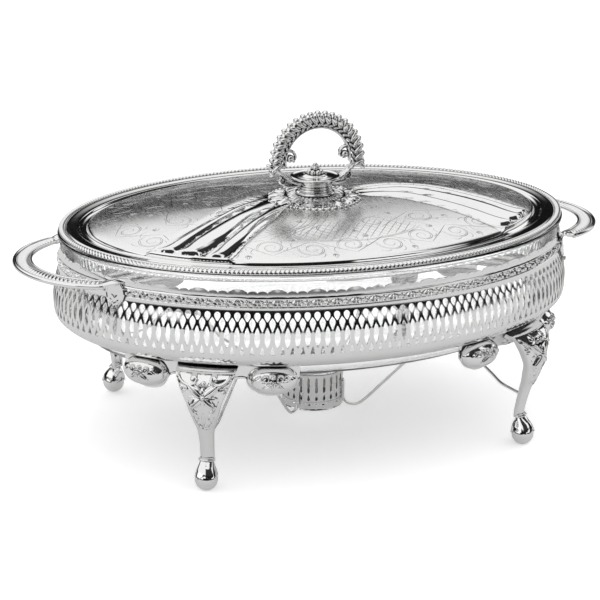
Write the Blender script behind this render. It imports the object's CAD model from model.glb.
# Oval lidded buffet warmer in silver plate: pierced gallery frame on four legs,
# glass dish, domed lid with a wreath knob, and a tealight in a pierced cup.
import math
import bpy
import numpy as np
from mathutils import Matrix, Vector
from mathutils.geometry import delaunay_2d_cdt


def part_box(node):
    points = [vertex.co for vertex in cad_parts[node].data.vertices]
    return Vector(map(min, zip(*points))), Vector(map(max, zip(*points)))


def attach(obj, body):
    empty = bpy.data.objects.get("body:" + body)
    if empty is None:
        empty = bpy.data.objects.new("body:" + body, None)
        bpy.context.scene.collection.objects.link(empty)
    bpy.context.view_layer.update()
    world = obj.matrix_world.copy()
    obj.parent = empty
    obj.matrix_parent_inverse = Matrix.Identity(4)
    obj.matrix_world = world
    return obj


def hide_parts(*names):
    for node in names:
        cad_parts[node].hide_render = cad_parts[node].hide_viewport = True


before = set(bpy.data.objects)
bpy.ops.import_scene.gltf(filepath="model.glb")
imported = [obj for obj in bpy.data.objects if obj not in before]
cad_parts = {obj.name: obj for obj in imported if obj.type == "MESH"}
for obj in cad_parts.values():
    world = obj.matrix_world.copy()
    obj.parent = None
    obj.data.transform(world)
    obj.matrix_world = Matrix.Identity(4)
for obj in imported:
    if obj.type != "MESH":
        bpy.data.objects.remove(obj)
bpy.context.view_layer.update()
cos, sin, pi, rad = math.cos, math.sin, math.pi, math.radians
A, B = 190.0, 140.0  # half axes of the lid outline, mm


# ---------------------------------------------------------------- mesh tools
def arr(x):
    return np.asarray(x, float)


class Mesh:
    """A growing mesh in millimetres."""

    def __init__(self):
        self.v, self.f, self.n = [], [], 0

    def add(self, V, F):
        V = arr(V).reshape(-1, 3)
        F = [tuple(int(i) + self.n for i in f) for f in F]
        self.v.append(V)
        self.f += F
        self.n += len(V)
        return self

    def join(self, other):
        return self.add(other.verts(), other.f)

    def verts(self):
        return np.concatenate(self.v) if self.v else np.zeros((0, 3))

    def map(self, fn):
        m = Mesh()
        return m.add(fn(self.verts()), self.f)

    def mirror(self, sx=1, sy=1):
        V = self.verts() * arr([sx, sy, 1])
        F = [tuple(reversed(f)) for f in self.f] if sx * sy < 0 else list(self.f)
        m = Mesh()
        return m.add(V, F)


def grid_faces(nu, nv, cu=False, cv=False, flip=False):
    U = np.arange(nu if cu else nu - 1)
    V = np.arange(nv if cv else nv - 1)
    u, v = np.meshgrid(U, V, indexing="ij")
    u, v = u.ravel(), v.ravel()
    u1, v1 = (u + 1) % nu, (v + 1) % nv
    q = np.stack([u * nv + v, u1 * nv + v, u1 * nv + v1, u * nv + v1], 1)
    if flip:
        q = q[:, ::-1]
    return [tuple(r) for r in q.tolist()]


def grid(P, cu=False, cv=False, flip=False):
    P = arr(P)
    m = Mesh()
    return m.add(P.reshape(-1, 3), grid_faces(P.shape[0], P.shape[1], cu, cv, flip))


def unit(v):
    v = arr(v)
    return v / np.maximum(np.linalg.norm(v, axis=-1, keepdims=True), 1e-12)


def resample(p, n=None, step=None, closed=False):
    """Points evenly along a smooth curve through p."""
    p = arr(p)
    if closed:
        p = np.vstack([p, p[:1]])
    k = len(p)
    t = np.concatenate([[0], np.cumsum(np.linalg.norm(np.diff(p, axis=0), axis=1) ** 0.5 + 1e-9)])
    m = np.zeros_like(p)
    if closed:
        for i in range(k):
            a, b = (i - 1) if i > 0 else k - 2, (i + 1) if i < k - 1 else 1
            ha = t[i] - t[i - 1] if i > 0 else t[-1] - t[-2]
            hb = t[i + 1] - t[i] if i < k - 1 else t[1] - t[0]
            m[i] = ((p[i] - p[a]) / ha * hb + (p[b] - p[i]) / hb * ha) / (ha + hb)
    else:
        for i in range(1, k - 1):
            ha, hb = t[i] - t[i - 1], t[i + 1] - t[i]
            m[i] = ((p[i] - p[i - 1]) / ha * hb + (p[i + 1] - p[i]) / hb * ha) / (ha + hb)
        if k > 2:
            m[0] = 2 * (p[1] - p[0]) / (t[1] - t[0]) - m[1]
            m[-1] = 2 * (p[-1] - p[-2]) / (t[-1] - t[-2]) - m[-2]
        else:
            m[:] = (p[1] - p[0]) / (t[1] - t[0])
    fine = []
    for i in range(k - 1):
        h = t[i + 1] - t[i]
        s = np.linspace(0, 1, 25)[:-1, None]
        fine.append((2 * s**3 - 3 * s**2 + 1) * p[i] + (s**3 - 2 * s**2 + s) * h * m[i]
                    + (-2 * s**3 + 3 * s**2) * p[i + 1] + (s**3 - s**2) * h * m[i + 1])
    fine = np.vstack(fine + [p[-1:]])
    L = np.concatenate([[0], np.cumsum(np.linalg.norm(np.diff(fine, axis=0), axis=1))])
    if n is None:
        n = max(3, int(round(L[-1] / step)) + 1)
    q = np.linspace(0, L[-1], n + 1)[:-1] if closed else np.linspace(0, L[-1], n)
    return np.stack([np.interp(q, L, fine[:, j]) for j in range(p.shape[1])], 1)


def frames(p, up=None, closed=False):
    """Tangent, side and up vectors along a path."""
    p = arr(p)
    if closed:
        t = unit(np.roll(p, -1, 0) - np.roll(p, 1, 0))
    else:
        t = unit(np.gradient(p, axis=0))
    if up is not None:
        u = np.broadcast_to(arr(up), p.shape)
        s = unit(np.cross(u, t))
        return t, s, np.cross(t, s)
    s = np.zeros_like(p)
    a = np.array([0, 0, 1.0]) if abs(t[0, 2]) < 0.9 else np.array([1.0, 0, 0])
    s[0] = unit(np.cross(a, t[0]))
    for i in range(1, len(p)):
        w = s[i - 1] - np.dot(s[i - 1], t[i]) * t[i]
        s[i] = unit(w)
    return t, s, np.cross(t, s)


def tube(p, r, n=10, up=None, closed=False, flat=1.0, caps=True):
    """Round or flattened tube along p; r is one radius or one for each point."""
    p = arr(p)
    r = np.broadcast_to(arr(r), (len(p),))
    t, s, u = frames(p, up, closed)
    a = np.arange(n) * 2 * pi / n
    P = p[:, None] + r[:, None, None] * (np.cos(a)[None, :, None] * s[:, None] + flat * np.sin(a)[None, :, None] * u[:, None])
    m = grid(P, cu=closed, cv=True, flip=True)
    if caps and not closed:
        k = len(p)
        c0, c1 = p[0] - t[0] * r[0] * 0.5, p[-1] + t[-1] * r[-1] * 0.5
        b = m.n
        m.add([c0, c1], [])
        m.f += [(b, (j + 1) % n, j) for j in range(n)][::1]
        m.f += [(b + 1, (k - 1) * n + j, (k - 1) * n + (j + 1) % n) for j in range(n)]
        m.f = [f for f in m.f]
    return m


def lathe(prof, n=64, a0=0.0, a1=2 * pi, wob=None):
    """Surface of revolution of (r, z) points from the axis or a closed ring."""
    prof = arr(prof)
    full = abs(a1 - a0 - 2 * pi) < 1e-9
    a = a0 + (a1 - a0) * (np.arange(n) / n if full else np.linspace(0, 1, n))
    r, z = prof[:, 0], prof[:, 1]
    R = np.broadcast_to(r[None, :], (n, len(r)))
    Z = np.broadcast_to(z[None, :], (n, len(r)))
    if wob is not None:
        R, Z = wob(a[:, None], R, Z)
    P = np.stack([R * np.cos(a)[:, None], R * np.sin(a)[:, None], Z], -1)
    return grid(P, cu=full)


def ball(c, r, n=12, m=8, M=None):
    """Ellipsoid with half sizes r (one or three), turned by the rows of M."""
    r = np.broadcast_to(arr(r), (3,))
    th = np.linspace(0, pi, m + 1)
    ph = np.arange(n) * 2 * pi / n
    V = [[0, 0, 1]] + [[sin(t) * cos(q), sin(t) * sin(q), cos(t)] for t in th[1:-1] for q in ph] + [[0, 0, -1]]
    V = arr(V) * r
    if M is not None:
        V = V @ arr(M)
    F = [(0, 1 + j, 1 + (j + 1) % n) for j in range(n)]
    for i in range(m - 2):
        b = 1 + i * n
        F += [(b + j, b + n + j, b + n + (j + 1) % n, b + (j + 1) % n) for j in range(n)]
    b = 1 + (m - 2) * n
    F += [(b + j, len(V) - 1, b + (j + 1) % n) for j in range(n)]
    k = Mesh()
    return k.add(V + arr(c), F)


def pchip(X, Y, x):
    """Smooth curve through (X, Y) with no overshoot."""
    X, Y = arr(X), arr(Y)
    if X[0] > X[-1]:
        X, Y = X[::-1], Y[::-1]
    h = np.diff(X)
    d = np.diff(Y) / h
    m = np.zeros_like(Y)
    m[0], m[-1] = d[0], d[-1]
    same = d[:-1] * d[1:] > 0
    w1, w2 = 2 * h[1:] + h[:-1], h[1:] + 2 * h[:-1]
    with np.errstate(divide="ignore", invalid="ignore"):
        m[1:-1] = np.where(same, (w1 + w2) / (w1 / d[:-1] + w2 / d[1:]), 0)
    x = np.clip(x, X[0], X[-1])
    i = np.clip(np.searchsorted(X, x, side="right") - 1, 0, len(X) - 2)
    s = (x - X[i]) / h[i]
    return ((2 * s**3 - 3 * s**2 + 1) * Y[i] + (s**3 - 2 * s**2 + s) * h[i] * m[i]
            + (-2 * s**3 + 3 * s**2) * Y[i + 1] + (s**3 - s**2) * h[i] * m[i + 1])


def step(x, a, b):
    t = np.clip((arr(x) - a) / (b - a), 0, 1)
    return t * t * (3 - 2 * t)


def smooth_profile(p, k=4, n=None):
    q = resample(p, n=n or (len(p) - 1) * k + 1)
    return q


# ---------------------------------------------------------------- the oval
_t = np.linspace(0, 2 * pi, 20001)
_x, _y = A * np.cos(_t), B * np.sin(_t)
_nx, _ny = B * np.cos(_t), A * np.sin(_t)
_k = np.hypot(_nx, _ny)
_nx, _ny = _nx / _k, _ny / _k


def oval(n, off=0.0, start=0.0):
    """n points evenly around the oval at this offset: xy and outward normal."""
    x, y = _x + off * _nx, _y + off * _ny
    L = np.concatenate([[0], np.cumsum(np.hypot(np.diff(x), np.diff(y)))])
    s = (np.arange(n) / n + start) % 1.0 * L[-1]
    t = np.interp(s, L, _t)
    c, d = np.cos(t), np.sin(t)
    nn = np.stack([B * c, A * d], 1)
    return np.stack([A * c, B * d], 1), unit(nn), L[-1]


def oval_at(u):
    """Position and normal on the oval at the fractions u of the gallery's length."""
    t = np.interp(arr(u) % 1.0, _frac, _t)
    c, d = np.cos(t), np.sin(t)
    return np.stack([A * c, B * d], -1), unit(np.stack([B * c, A * d], -1))


_gx, _gy = _x + 4.0 * _nx, _y + 4.0 * _ny
_frac = np.concatenate([[0], np.cumsum(np.hypot(np.diff(_gx), np.diff(_gy)))])
PERIM = _frac[-1]
_frac = _frac / _frac[-1]


def oval_distance(x, y, a=A, b=B):
    """Signed distance from the oval, inside negative."""
    px, py = np.abs(arr(x)), np.abs(arr(y))
    tx = np.full(px.shape, 0.7071)
    ty = tx.copy()
    for _ in range(8):
        ex, ey = (a * a - b * b) * tx**3 / a, (b * b - a * a) * ty**3 / b
        rx, ry, qx, qy = a * tx - ex, b * ty - ey, px - ex, py - ey
        r, q = np.hypot(rx, ry), np.maximum(np.hypot(qx, qy), 1e-9)
        tx = np.clip((qx * r / q + ex) / a, 0, 1)
        ty = np.clip((qy * r / q + ey) / b, 0, 1)
        k = np.maximum(np.hypot(tx, ty), 1e-9)
        tx, ty = tx / k, ty / k
    d = np.hypot(px - a * tx, py - b * ty)
    return np.where((px / a) ** 2 + (py / b) ** 2 < 1, -d, d)


def sweep(prof, n, closed=True, flip=False):
    """Carry (offset, z) points around the oval."""
    prof = arr(prof)
    P, N, _ = oval(n)
    xy = P[:, None] + prof[None, :, :1] * N[:, None]
    z = np.broadcast_to(prof[None, :, 1:], (n, len(prof), 1))
    return grid(np.concatenate([xy, z], -1), cu=True, cv=closed, flip=flip)


# ---------------------------------------------------------------- objects
def piece(name, m, mat, body, replaces=(), sharp=38, merge=0.0, sub=0):
    me = bpy.data.meshes.new(name)
    me.from_pydata((m.verts() * 0.001).tolist(), [], m.f)
    import bmesh

    bm = bmesh.new()
    bm.from_mesh(me)
    if merge:
        bmesh.ops.remove_doubles(bm, verts=bm.verts, dist=merge * 0.001)
    bmesh.ops.recalc_face_normals(bm, faces=bm.faces)
    bm.to_mesh(me)
    bm.free()
    me.validate(clean_customdata=False)
    me.polygons.foreach_set("use_smooth", [True] * len(me.polygons))
    if sharp < 180:
        me.set_sharp_from_angle(angle=rad(sharp))
    me.update()
    me.materials.append(mat)
    o = bpy.data.objects.new(name, me)
    bpy.context.scene.collection.objects.link(o)
    if sub:
        s = o.modifiers.new("sub", "SUBSURF")
        s.levels = s.render_levels = sub
    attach(o, body)
    if replaces:
        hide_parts(*replaces)
    return o


# ---------------------------------------------------------------- materials
def new_mat(name):
    m = bpy.data.materials.new(name)
    m.use_nodes = True
    nt = m.node_tree
    nt.nodes.clear()
    out = nt.nodes.new("ShaderNodeOutputMaterial")
    b = nt.nodes.new("ShaderNodeBsdfPrincipled")
    nt.links.new(b.outputs[0], out.inputs["Surface"])
    return m, nt, b


def node(nt, kind, **kw):
    n = nt.nodes.new(kind)
    for k, v in kw.items():
        if k in n.inputs:
            n.inputs[k].default_value = v
        else:
            setattr(n, k, v)
    return n


def coords(nt, scale=1.0, stretch=(1, 1, 1)):
    tc = node(nt, "ShaderNodeTexCoord")
    mp = node(nt, "ShaderNodeMapping")
    mp.inputs["Scale"].default_value = tuple(scale * s for s in stretch)
    nt.links.new(tc.outputs["Object"], mp.inputs["Vector"])
    return mp.outputs[0]


def ramp(nt, fac, stops):
    r = node(nt, "ShaderNodeValToRGB")
    e = r.color_ramp.elements
    while len(e) < len(stops):
        e.new(0.5)
    for k, (p, c) in zip(e, stops):
        k.position = p
        k.color = (*c, 1) if len(c) == 3 else c
    nt.links.new(fac, r.inputs[0])
    return r.outputs[0]


def remap(nt, fac, a, b, lo=0.0, hi=1.0):
    m = node(nt, "ShaderNodeMapRange")
    m.inputs["From Min"].default_value = lo
    m.inputs["From Max"].default_value = hi
    m.inputs["To Min"].default_value = a
    m.inputs["To Max"].default_value = b
    nt.links.new(fac, m.inputs[0])
    return m.outputs[0]


def silver(name, tint=(0.93, 0.93, 0.925), rough=(0.035, 0.10), wave=0.06, scratch=0.03, recess=0.0, dark=(0.12, 0.118, 0.115), chase=0.0, panel=0.0):
    """Polished silver plate: cloudy polish marks, hairlines, slight waviness and tarnish left in the recesses."""
    m, nt, b = new_mat(name)
    L = nt.links.new
    b.inputs["Metallic"].default_value = 1.0
    big = node(nt, "ShaderNodeTexNoise", Scale=18.0, Detail=4.0, Roughness=0.6)
    L(coords(nt), big.inputs["Vector"])
    fine = node(nt, "ShaderNodeTexNoise", Scale=900.0, Detail=3.0, Roughness=0.7)
    L(coords(nt, 1.0, (1.0, 0.16, 1.0)), fine.inputs["Vector"])
    hair = node(nt, "ShaderNodeTexNoise", Scale=260.0, Detail=2.0, Roughness=0.5)
    L(coords(nt, 1.0, (0.07, 1.6, 0.5)), hair.inputs["Vector"])
    lo = tuple(c * 0.955 for c in tint)
    col = ramp(nt, big.outputs["Fac"], [(0.3, lo), (0.7, tint)])
    if recess:
        ao = node(nt, "ShaderNodeAmbientOcclusion", samples=6)
        ao.inputs["Distance"].default_value = 0.0025
        k = ramp(nt, ao.outputs["AO"], [(0.15, (recess,) * 3), (0.75, (0.0,) * 3)])
        mx = node(nt, "ShaderNodeMix", data_type="RGBA")
        L(k, mx.inputs["Factor"])
        L(col, mx.inputs["A"])
        mx.inputs["B"].default_value = (*dark, 1)
        col = mx.outputs["Result"]
    L(col, b.inputs["Base Color"])
    mr = node(nt, "ShaderNodeMath", operation="ADD")
    L(remap(nt, big.outputs["Fac"], rough[0], rough[1], 0.3, 0.75), mr.inputs[0])
    L(remap(nt, fine.outputs["Fac"], 0.0, 0.025, 0.45, 0.8), mr.inputs[1])
    rgh = mr.outputs[0]
    if panel:  # matted ground of the engraved panels
        at = node(nt, "ShaderNodeAttribute", attribute_name="panel")
        mp = node(nt, "ShaderNodeMath", operation="MULTIPLY_ADD")
        L(at.outputs["Fac"], mp.inputs[0])
        L(remap(nt, fine.outputs["Fac"], panel * 0.8, panel * 1.3, 0.35, 0.7), mp.inputs[1])
        L(rgh, mp.inputs[2])
        rgh = mp.outputs[0]
    L(rgh, b.inputs["Roughness"])
    bump = None
    for src, st, dist in ((big.outputs["Fac"], wave, 0.0006), (hair.outputs["Fac"], scratch, 0.00004)):
        if st <= 0:
            continue
        bp = node(nt, "ShaderNodeBump")
        bp.inputs["Strength"].default_value = st
        bp.inputs["Distance"].default_value = dist
        L(src, bp.inputs["Height"])
        if bump:
            L(bump, bp.inputs["Normal"])
        bump = bp.outputs[0]
    if chase > 0:
        vo = node(nt, "ShaderNodeTexVoronoi", Scale=1100.0)
        L(coords(nt), vo.inputs["Vector"])
        bp = node(nt, "ShaderNodeBump")
        bp.inputs["Strength"].default_value = chase
        bp.inputs["Distance"].default_value = 0.0002
        L(vo.outputs["Distance"], bp.inputs["Height"])
        if bump:
            L(bump, bp.inputs["Normal"])
        bump = bp.outputs[0]
    if bump:
        L(bump, b.inputs["Normal"])
    return m


SILVER = silver("silver_polished")
LID_SILVER = silver("silver_lid", panel=0.17, wave=0.05)
SILVER_RELIEF = silver("silver_relief", recess=0.7, rough=(0.05, 0.13), scratch=0.05, dark=(0.10, 0.098, 0.096))
SILVER_CAST = silver("silver_cast", recess=0.92, rough=(0.04, 0.11), wave=0.10, chase=0.04, dark=(0.03, 0.03, 0.03))
SILVER_ROPE = silver("silver_rope", recess=0.96, rough=(0.04, 0.11), wave=0.05, dark=(0.02, 0.02, 0.02))
SILVER_ENGRAVED = silver("silver_engraved", tint=(0.50, 0.50, 0.498), rough=(0.16, 0.28))
SILVER_WIRE = silver("silver_wire", tint=(0.90, 0.90, 0.895), rough=(0.06, 0.15), wave=0.02)
STEEL = silver("steel_screw", tint=(0.62, 0.62, 0.61), rough=(0.2, 0.34), scratch=0.15)
TINNED = silver("tinned_tab", tint=(0.66, 0.66, 0.67), rough=(0.25, 0.38), scratch=0.12)
ALU = silver("tealight_aluminium", tint=(0.87, 0.875, 0.88), rough=(0.22, 0.36), scratch=0.12, chase=0.03)


def glass():
    m, nt, b = new_mat("clear_glass")
    L = nt.links.new
    b.inputs["Base Color"].default_value = (0.995, 0.998, 0.997, 1)
    b.inputs["Transmission Weight"].default_value = 1.0
    b.inputs["IOR"].default_value = 1.473
    n = node(nt, "ShaderNodeTexNoise", Scale=30.0, Detail=3.0)
    L(coords(nt), n.inputs["Vector"])
    L(remap(nt, n.outputs["Fac"], 0.0, 0.02, 0.4, 0.8), b.inputs["Roughness"])
    bp = node(nt, "ShaderNodeBump")
    bp.inputs["Strength"].default_value = 0.05
    bp.inputs["Distance"].default_value = 0.001
    L(n.outputs["Fac"], bp.inputs["Height"])
    L(bp.outputs[0], b.inputs["Normal"])
    return m


def wax():
    m, nt, b = new_mat("candle_wax")
    L = nt.links.new
    n = node(nt, "ShaderNodeTexNoise", Scale=120.0, Detail=5.0, Roughness=0.6)
    L(coords(nt), n.inputs["Vector"])
    L(ramp(nt, n.outputs["Fac"], [(0.3, (0.86, 0.85, 0.81)), (0.7, (0.93, 0.92, 0.89))]), b.inputs["Base Color"])
    b.inputs["Subsurface Weight"].default_value = 0.4
    b.inputs["Subsurface Radius"].default_value = (0.004, 0.003, 0.002)
    L(remap(nt, n.outputs["Fac"], 0.32, 0.5), b.inputs["Roughness"])
    bp = node(nt, "ShaderNodeBump")
    bp.inputs["Strength"].default_value = 0.15
    bp.inputs["Distance"].default_value = 0.0004
    L(n.outputs["Fac"], bp.inputs["Height"])
    L(bp.outputs[0], b.inputs["Normal"])
    return m


def wick():
    m, nt, b = new_mat("cotton_wick")
    L = nt.links.new
    w = node(nt, "ShaderNodeTexWave", Scale=900.0, Distortion=1.5)
    w.bands_direction = "DIAGONAL"
    L(coords(nt), w.inputs["Vector"])
    L(ramp(nt, w.outputs["Fac"], [(0.2, (0.62, 0.58, 0.50)), (0.8, (0.88, 0.86, 0.80))]), b.inputs["Base Color"])
    b.inputs["Roughness"].default_value = 0.85
    b.inputs["Sheen Weight"].default_value = 0.3
    bp = node(nt, "ShaderNodeBump")
    bp.inputs["Strength"].default_value = 0.6
    bp.inputs["Distance"].default_value = 0.0002
    L(w.outputs["Fac"], bp.inputs["Height"])
    L(bp.outputs[0], b.inputs["Normal"])
    return m


GLASS, WAX, WICK = glass(), wax(), wick()


# ---------------------------------------------------------------- lid
lid_o = [-140, -115, -100, -85, -65, -50, -42, -37, -32, -29, -26, -23.2, -22.2, -21.4, -20.9, -20.6, -20.3, -19.6, -18.2, -16.4, -15.6, -15.0, -14.4, -13.8, -13.2, -9.5, -6.6, -5.7, -5.2, -4.8, -4.6, -0.6]
lid_h = [170.9, 170.6, 170.0, 169.1, 167.2, 165.1, 163.6, 162.7, 162.1, 161.9, 161.85, 161.85, 161.75, 161.4, 160.6, 159.0, 156.7, 156.1, 155.9, 156.1, 156.6, 157.3, 157.9, 158.0, 157.9, 158.2, 158.5, 158.3, 157.9, 157.4, 157.25, 157.2]
# valley lines of the two rib groups as (distance from the middle, distance to the front), knob to rim
creases = {
    1: [
        [(36, -14), (54, -18), (72, -16.5), (92, -6), (106, 9), (118, 23), (130, 36), (141, 48), (150, 57), (158, 64)],
        [(36, -10), (52, -11.5), (68, -9), (84, 0), (100, 15.5), (113, 29.5), (124, 43), (132.5, 55), (139, 66), (146, 78)],
        [(36, -5), (50, -3), (64, 3.5), (77, 14.5), (88.6, 30), (100, 45), (109.5, 58), (119, 70), (126, 80), (134, 92)],
        [(35, 6), (48, 9), (60, 15.5), (71, 28), (83, 43.5), (93, 59), (102, 74), (109, 87), (114, 98), (119, 110)],
    ],
    -1: [
        [(25.5, -20.5), (43, -11), (60, 0.5), (89, 24), (118, 44.5), (143.5, 58), (160, 66)],
        [(25, -15), (38, -6), (66, 16.6), (94, 38.5), (112, 52.5), (129.5, 65.5), (146, 77)],
        [(35, 8), (48, 21), (62, 34.3), (78.6, 50.4), (95.5, 66.5), (108, 78), (124, 93)],
        [(33, 21), (50, 39), (64, 53), (80.8, 71), (92, 83), (103, 95), (112, 106)],
    ],
}
creases = {k: [resample(c, n=44) for c in v] for k, v in creases.items()}


def side_of(P, c):
    """Signed distance of points from a crease, positive towards the front."""
    a, b = c[:-1], c[1:]
    d = b - a
    L2 = (d * d).sum(1)
    best = np.full(len(P), 1e9)
    sign = np.ones(len(P))
    for i in range(len(a)):
        w = P - a[i]
        t = np.clip((w @ d[i]) / L2[i], 0, 1)
        e = w - t[:, None] * d[i]
        q = (e * e).sum(1)
        k = q < best
        best[k] = q[k]
        sign[k] = np.sign(d[i][0] * w[k, 1] - d[i][1] * w[k, 0])
    return np.sqrt(best) * sign


def rib_field(x, y):
    """Distances from the four valley lines of the nearer rib group."""
    Q = np.stack([np.abs(x), -y], 1)
    d = np.zeros((4, len(x)))
    for sx in (1, -1):
        k = (x * sx) > 0
        if k.any():
            for i in range(4):
                d[i, k] = side_of(Q[k], creases[sx][i])
    return d


edge_fall = 2.7
fall_o = [-46, -40, -35, -31, -28, -25.5, -23.6, -22.2, -21.2, -20.75, -20.3]
fall_h = [0.0, 0.03, 0.10, 0.22, 0.38, 0.58, 0.78, 0.95, 1.0, 0.6, 0.0]


def on_ribs(x, y, o):
    """1 where a rib group lies and 0 on the plain panels, for points near the rim."""
    f = np.zeros(len(x))
    k = (np.abs(x) > 18) & (o < -14) & (o > -50) & (y < 45)
    if k.any():
        d = rib_field(x[k], y[k])
        f[k] = step(np.minimum(d[0], -d[3]), -5.0, 1.0)
    return f


def lid_height(x, y):
    """Top surface of the lid."""
    x, y = arr(x), arr(y)
    shape = x.shape
    x, y = np.atleast_1d(x).ravel(), np.atleast_1d(y).ravel()
    o = oval_distance(x, y)
    z = pchip(lid_o, lid_h, o)
    z = z - edge_fall * np.interp(o, fall_o, fall_h) * (1 - on_ribs(x, y, o))
    near = (np.abs(x) > 18) & (o < -14) & (y < 45)
    if near.any():
        xx, yy, oo = x[near], y[near], o[near]
        d = rib_field(xx, yy)
        r = np.hypot(xx, yy)
        deep = 2.6 * step(r, 30, 60)
        out = np.where(d[0] < 0, -d[0], np.where(d[3] > 0, d[3], 0))
        u = np.clip(1 - out / 7.0, 0, 1)
        fall = 1 - np.sqrt(np.maximum(1 - u * u, 0))
        inside = (d[0] >= 0) & (d[3] <= 0)
        add = -deep * np.where(inside, 1.0, fall)
        for i in range(3):
            k = (d[i] >= 0) & (d[i + 1] <= 0)
            w = np.maximum((d[i] - d[i + 1]) / 2, 1e-6)
            q = d[i] / (2 * w)
            tip = (-23.6, -23.4, -23.4)[i]
            L = (14.0, 36.0, 34.0)[i]
            t = np.clip((oo - (tip - L)) / L, 0, 1)
            e = np.clip((oo - (tip - 8.0)) / 8.0, 0, 1)
            wf = (0.84 + 0.09 * step(r, 36, 120)) * (1 - (0.12, 0.42, 0.42)[i] * t**1.6) * np.sqrt(np.maximum(1 - e * e, 0))
            s = np.where(wf > 1e-3, 2 * q / np.maximum(wf, 1e-3) - 1, 9)
            crest = deep + np.minimum(0.22 * w, 2.6) * step(r, 32, 74)
            h = crest * np.sqrt(np.maximum(1 - np.minimum(s * s, 1), 0)) * (0.4 + 0.6 * np.sqrt(np.maximum(wf, 0)))
            add = add + np.where(k, h, 0)
        z[near] = z[near] + add * step(-oo, 21.2, 24.4)
    return z.reshape(shape)


def plain_ribs(x, y):
    """1 on the ribs and 0 on the panels."""
    x, y = arr(x).ravel(), arr(y).ravel()
    d = rib_field(x, y)
    inside = np.minimum(d[0], -d[3])
    return step(inside, -2.5, 0.0) * (np.hypot(x, y) > 30) * (np.abs(x) > 18)


def lid_mesh():
    nt = 1440
    E, N, _ = oval(nt)
    o_rim = np.array([-0.4, -2.5, -4.5, -4.8, -5.1, -5.4, -5.8, -6.5, -8.0, -10.0, -12.0, -13.2, -13.6, -14.0, -14.4, -14.8, -15.2, -15.7, -16.5, -17.6,
                      -18.6, -19.5, -19.9, -20.15, -20.3, -20.45, -20.6, -20.75, -20.95, -21.25, -21.7, -22.4, -23.4, -24.8])
    rim = E[:, None] + o_rim[None, :, None] * N[:, None]
    inner = rim[:, -1]
    rho = 1 - np.concatenate([np.linspace(0, 0.42, 62)[1:], 0.42 + (1 - 0.42 - 0.1) * np.linspace(0, 1, 26)[1:]])
    dome = inner[:, None] * rho[None, :, None]
    XY = np.concatenate([rim, dome], 1)
    Z = lid_height(XY[..., 0], XY[..., 1])
    top = np.concatenate([XY, Z[..., None]], -1)
    m = grid(top, cu=True)
    k = top.shape[1]
    c = m.n
    m.add([[0, 0, float(lid_height(0.0, 0.0))]], [])
    m.f += [((i + 1) % nt * k + k - 1, c, i * k + k - 1) for i in range(nt)][::1]
    # underside, 0.9 mm in
    nb = 480
    E, N, _ = oval(nb)
    ob = np.array([-0.4, -4.6, -5.6, -6.4, -8, -12, -14.0, -15.6, -17.5, -20.5, -22.4, -24.3])
    rim = E[:, None] + ob[None, :, None] * N[:, None]
    rho = np.array([0.985, 0.96, 0.92, 0.87, 0.81, 0.74, 0.66, 0.57, 0.47, 0.36, 0.24, 0.12])
    XY = np.concatenate([rim, rim[:, -1][:, None] * rho[None, :, None]], 1)
    Z = np.maximum(lid_height(XY[..., 0], XY[..., 1]) - 0.9, 154.8)
    Z[:, :2] = 156.3
    Z[:, 2] = 156.9
    bot = np.concatenate([XY, Z[..., None]], -1)
    k2 = bot.shape[1]
    b0 = m.n
    m.join(grid(bot, cu=True, flip=True))
    c = m.n
    m.add([[0, 0, float(lid_height(0.0, 0.0)) - 0.9]], [])
    m.f += [(b0 + i * k2 + k2 - 1, c, b0 + (i + 1) % nb * k2 + k2 - 1) for i in range(nb)]
    # outer edge
    e0 = m.n
    E2, N2, _ = oval(nt)
    q = np.stack([np.concatenate([E2 - 0.4 * N2, np.full((nt, 1), zz)], 1) for zz in (157.2, 156.9, 156.3)], 1)
    q[:, 1, :2] += 0.25 * N2
    m.join(grid(q, cu=True, flip=True))
    return m


lid = piece("lid_top", lid_mesh(), LID_SILVER, "lid", ("lid_shell",), sharp=50)
_v = np.empty(len(lid.data.vertices) * 3)
lid.data.vertices.foreach_get("co", _v)
_v = _v.reshape(-1, 3) * 1000
_o = oval_distance(_v[:, 0], _v[:, 1])
_p = step(-_o, 21.3, 22.6) * (1 - plain_ribs(_v[:, 0], _v[:, 1])) * step(np.hypot(_v[:, 0], _v[:, 1]), 20, 30)
_at = lid.data.attributes.new("panel", "FLOAT", "POINT")
_at.data.foreach_set("value", _p.astype(np.float32))


# ---------------------------------------------------------------- engraving on the lid's panels
strokes = []


def stroke(p, w=0.55):
    strokes.append((arr(p), w))


def swirl(cx, cy, r, a0, hand, turns=1.75, w=0.6):
    """Scroll with a double line and comma leaves on its back."""
    n = int(34 * turns)
    t = np.linspace(0, 1, n)
    a = rad(a0) + hand * t * turns * 2 * pi
    rr = r * (1 - 0.86 * t**0.8)
    p = np.stack([cx + rr * np.cos(a), cy + rr * np.sin(a)], 1)
    stroke(p, w)
    q = np.stack([cx + (rr - 1.15) * np.cos(a), cy + (rr - 1.15) * np.sin(a)], 1)
    stroke(q[: int(n * 0.62)], w * 0.7)
    for k in range(4):
        f = 0.04 + 0.115 * k
        b = a0 * pi / 180 + hand * f * turns * 2 * pi
        r0 = r * (1 - 0.86 * f**0.8) + 0.8
        s = np.linspace(0, 1, 9)
        L = r * (0.44 - 0.05 * k)
        rad_ = r0 + L * np.sin(s * pi * 0.62)
        ang = b - hand * s * 0.62
        stroke(np.stack([cx + rad_ * np.cos(ang), cy + rad_ * np.sin(ang)], 1), w * 0.8)
    return p[0], a[0]


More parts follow.
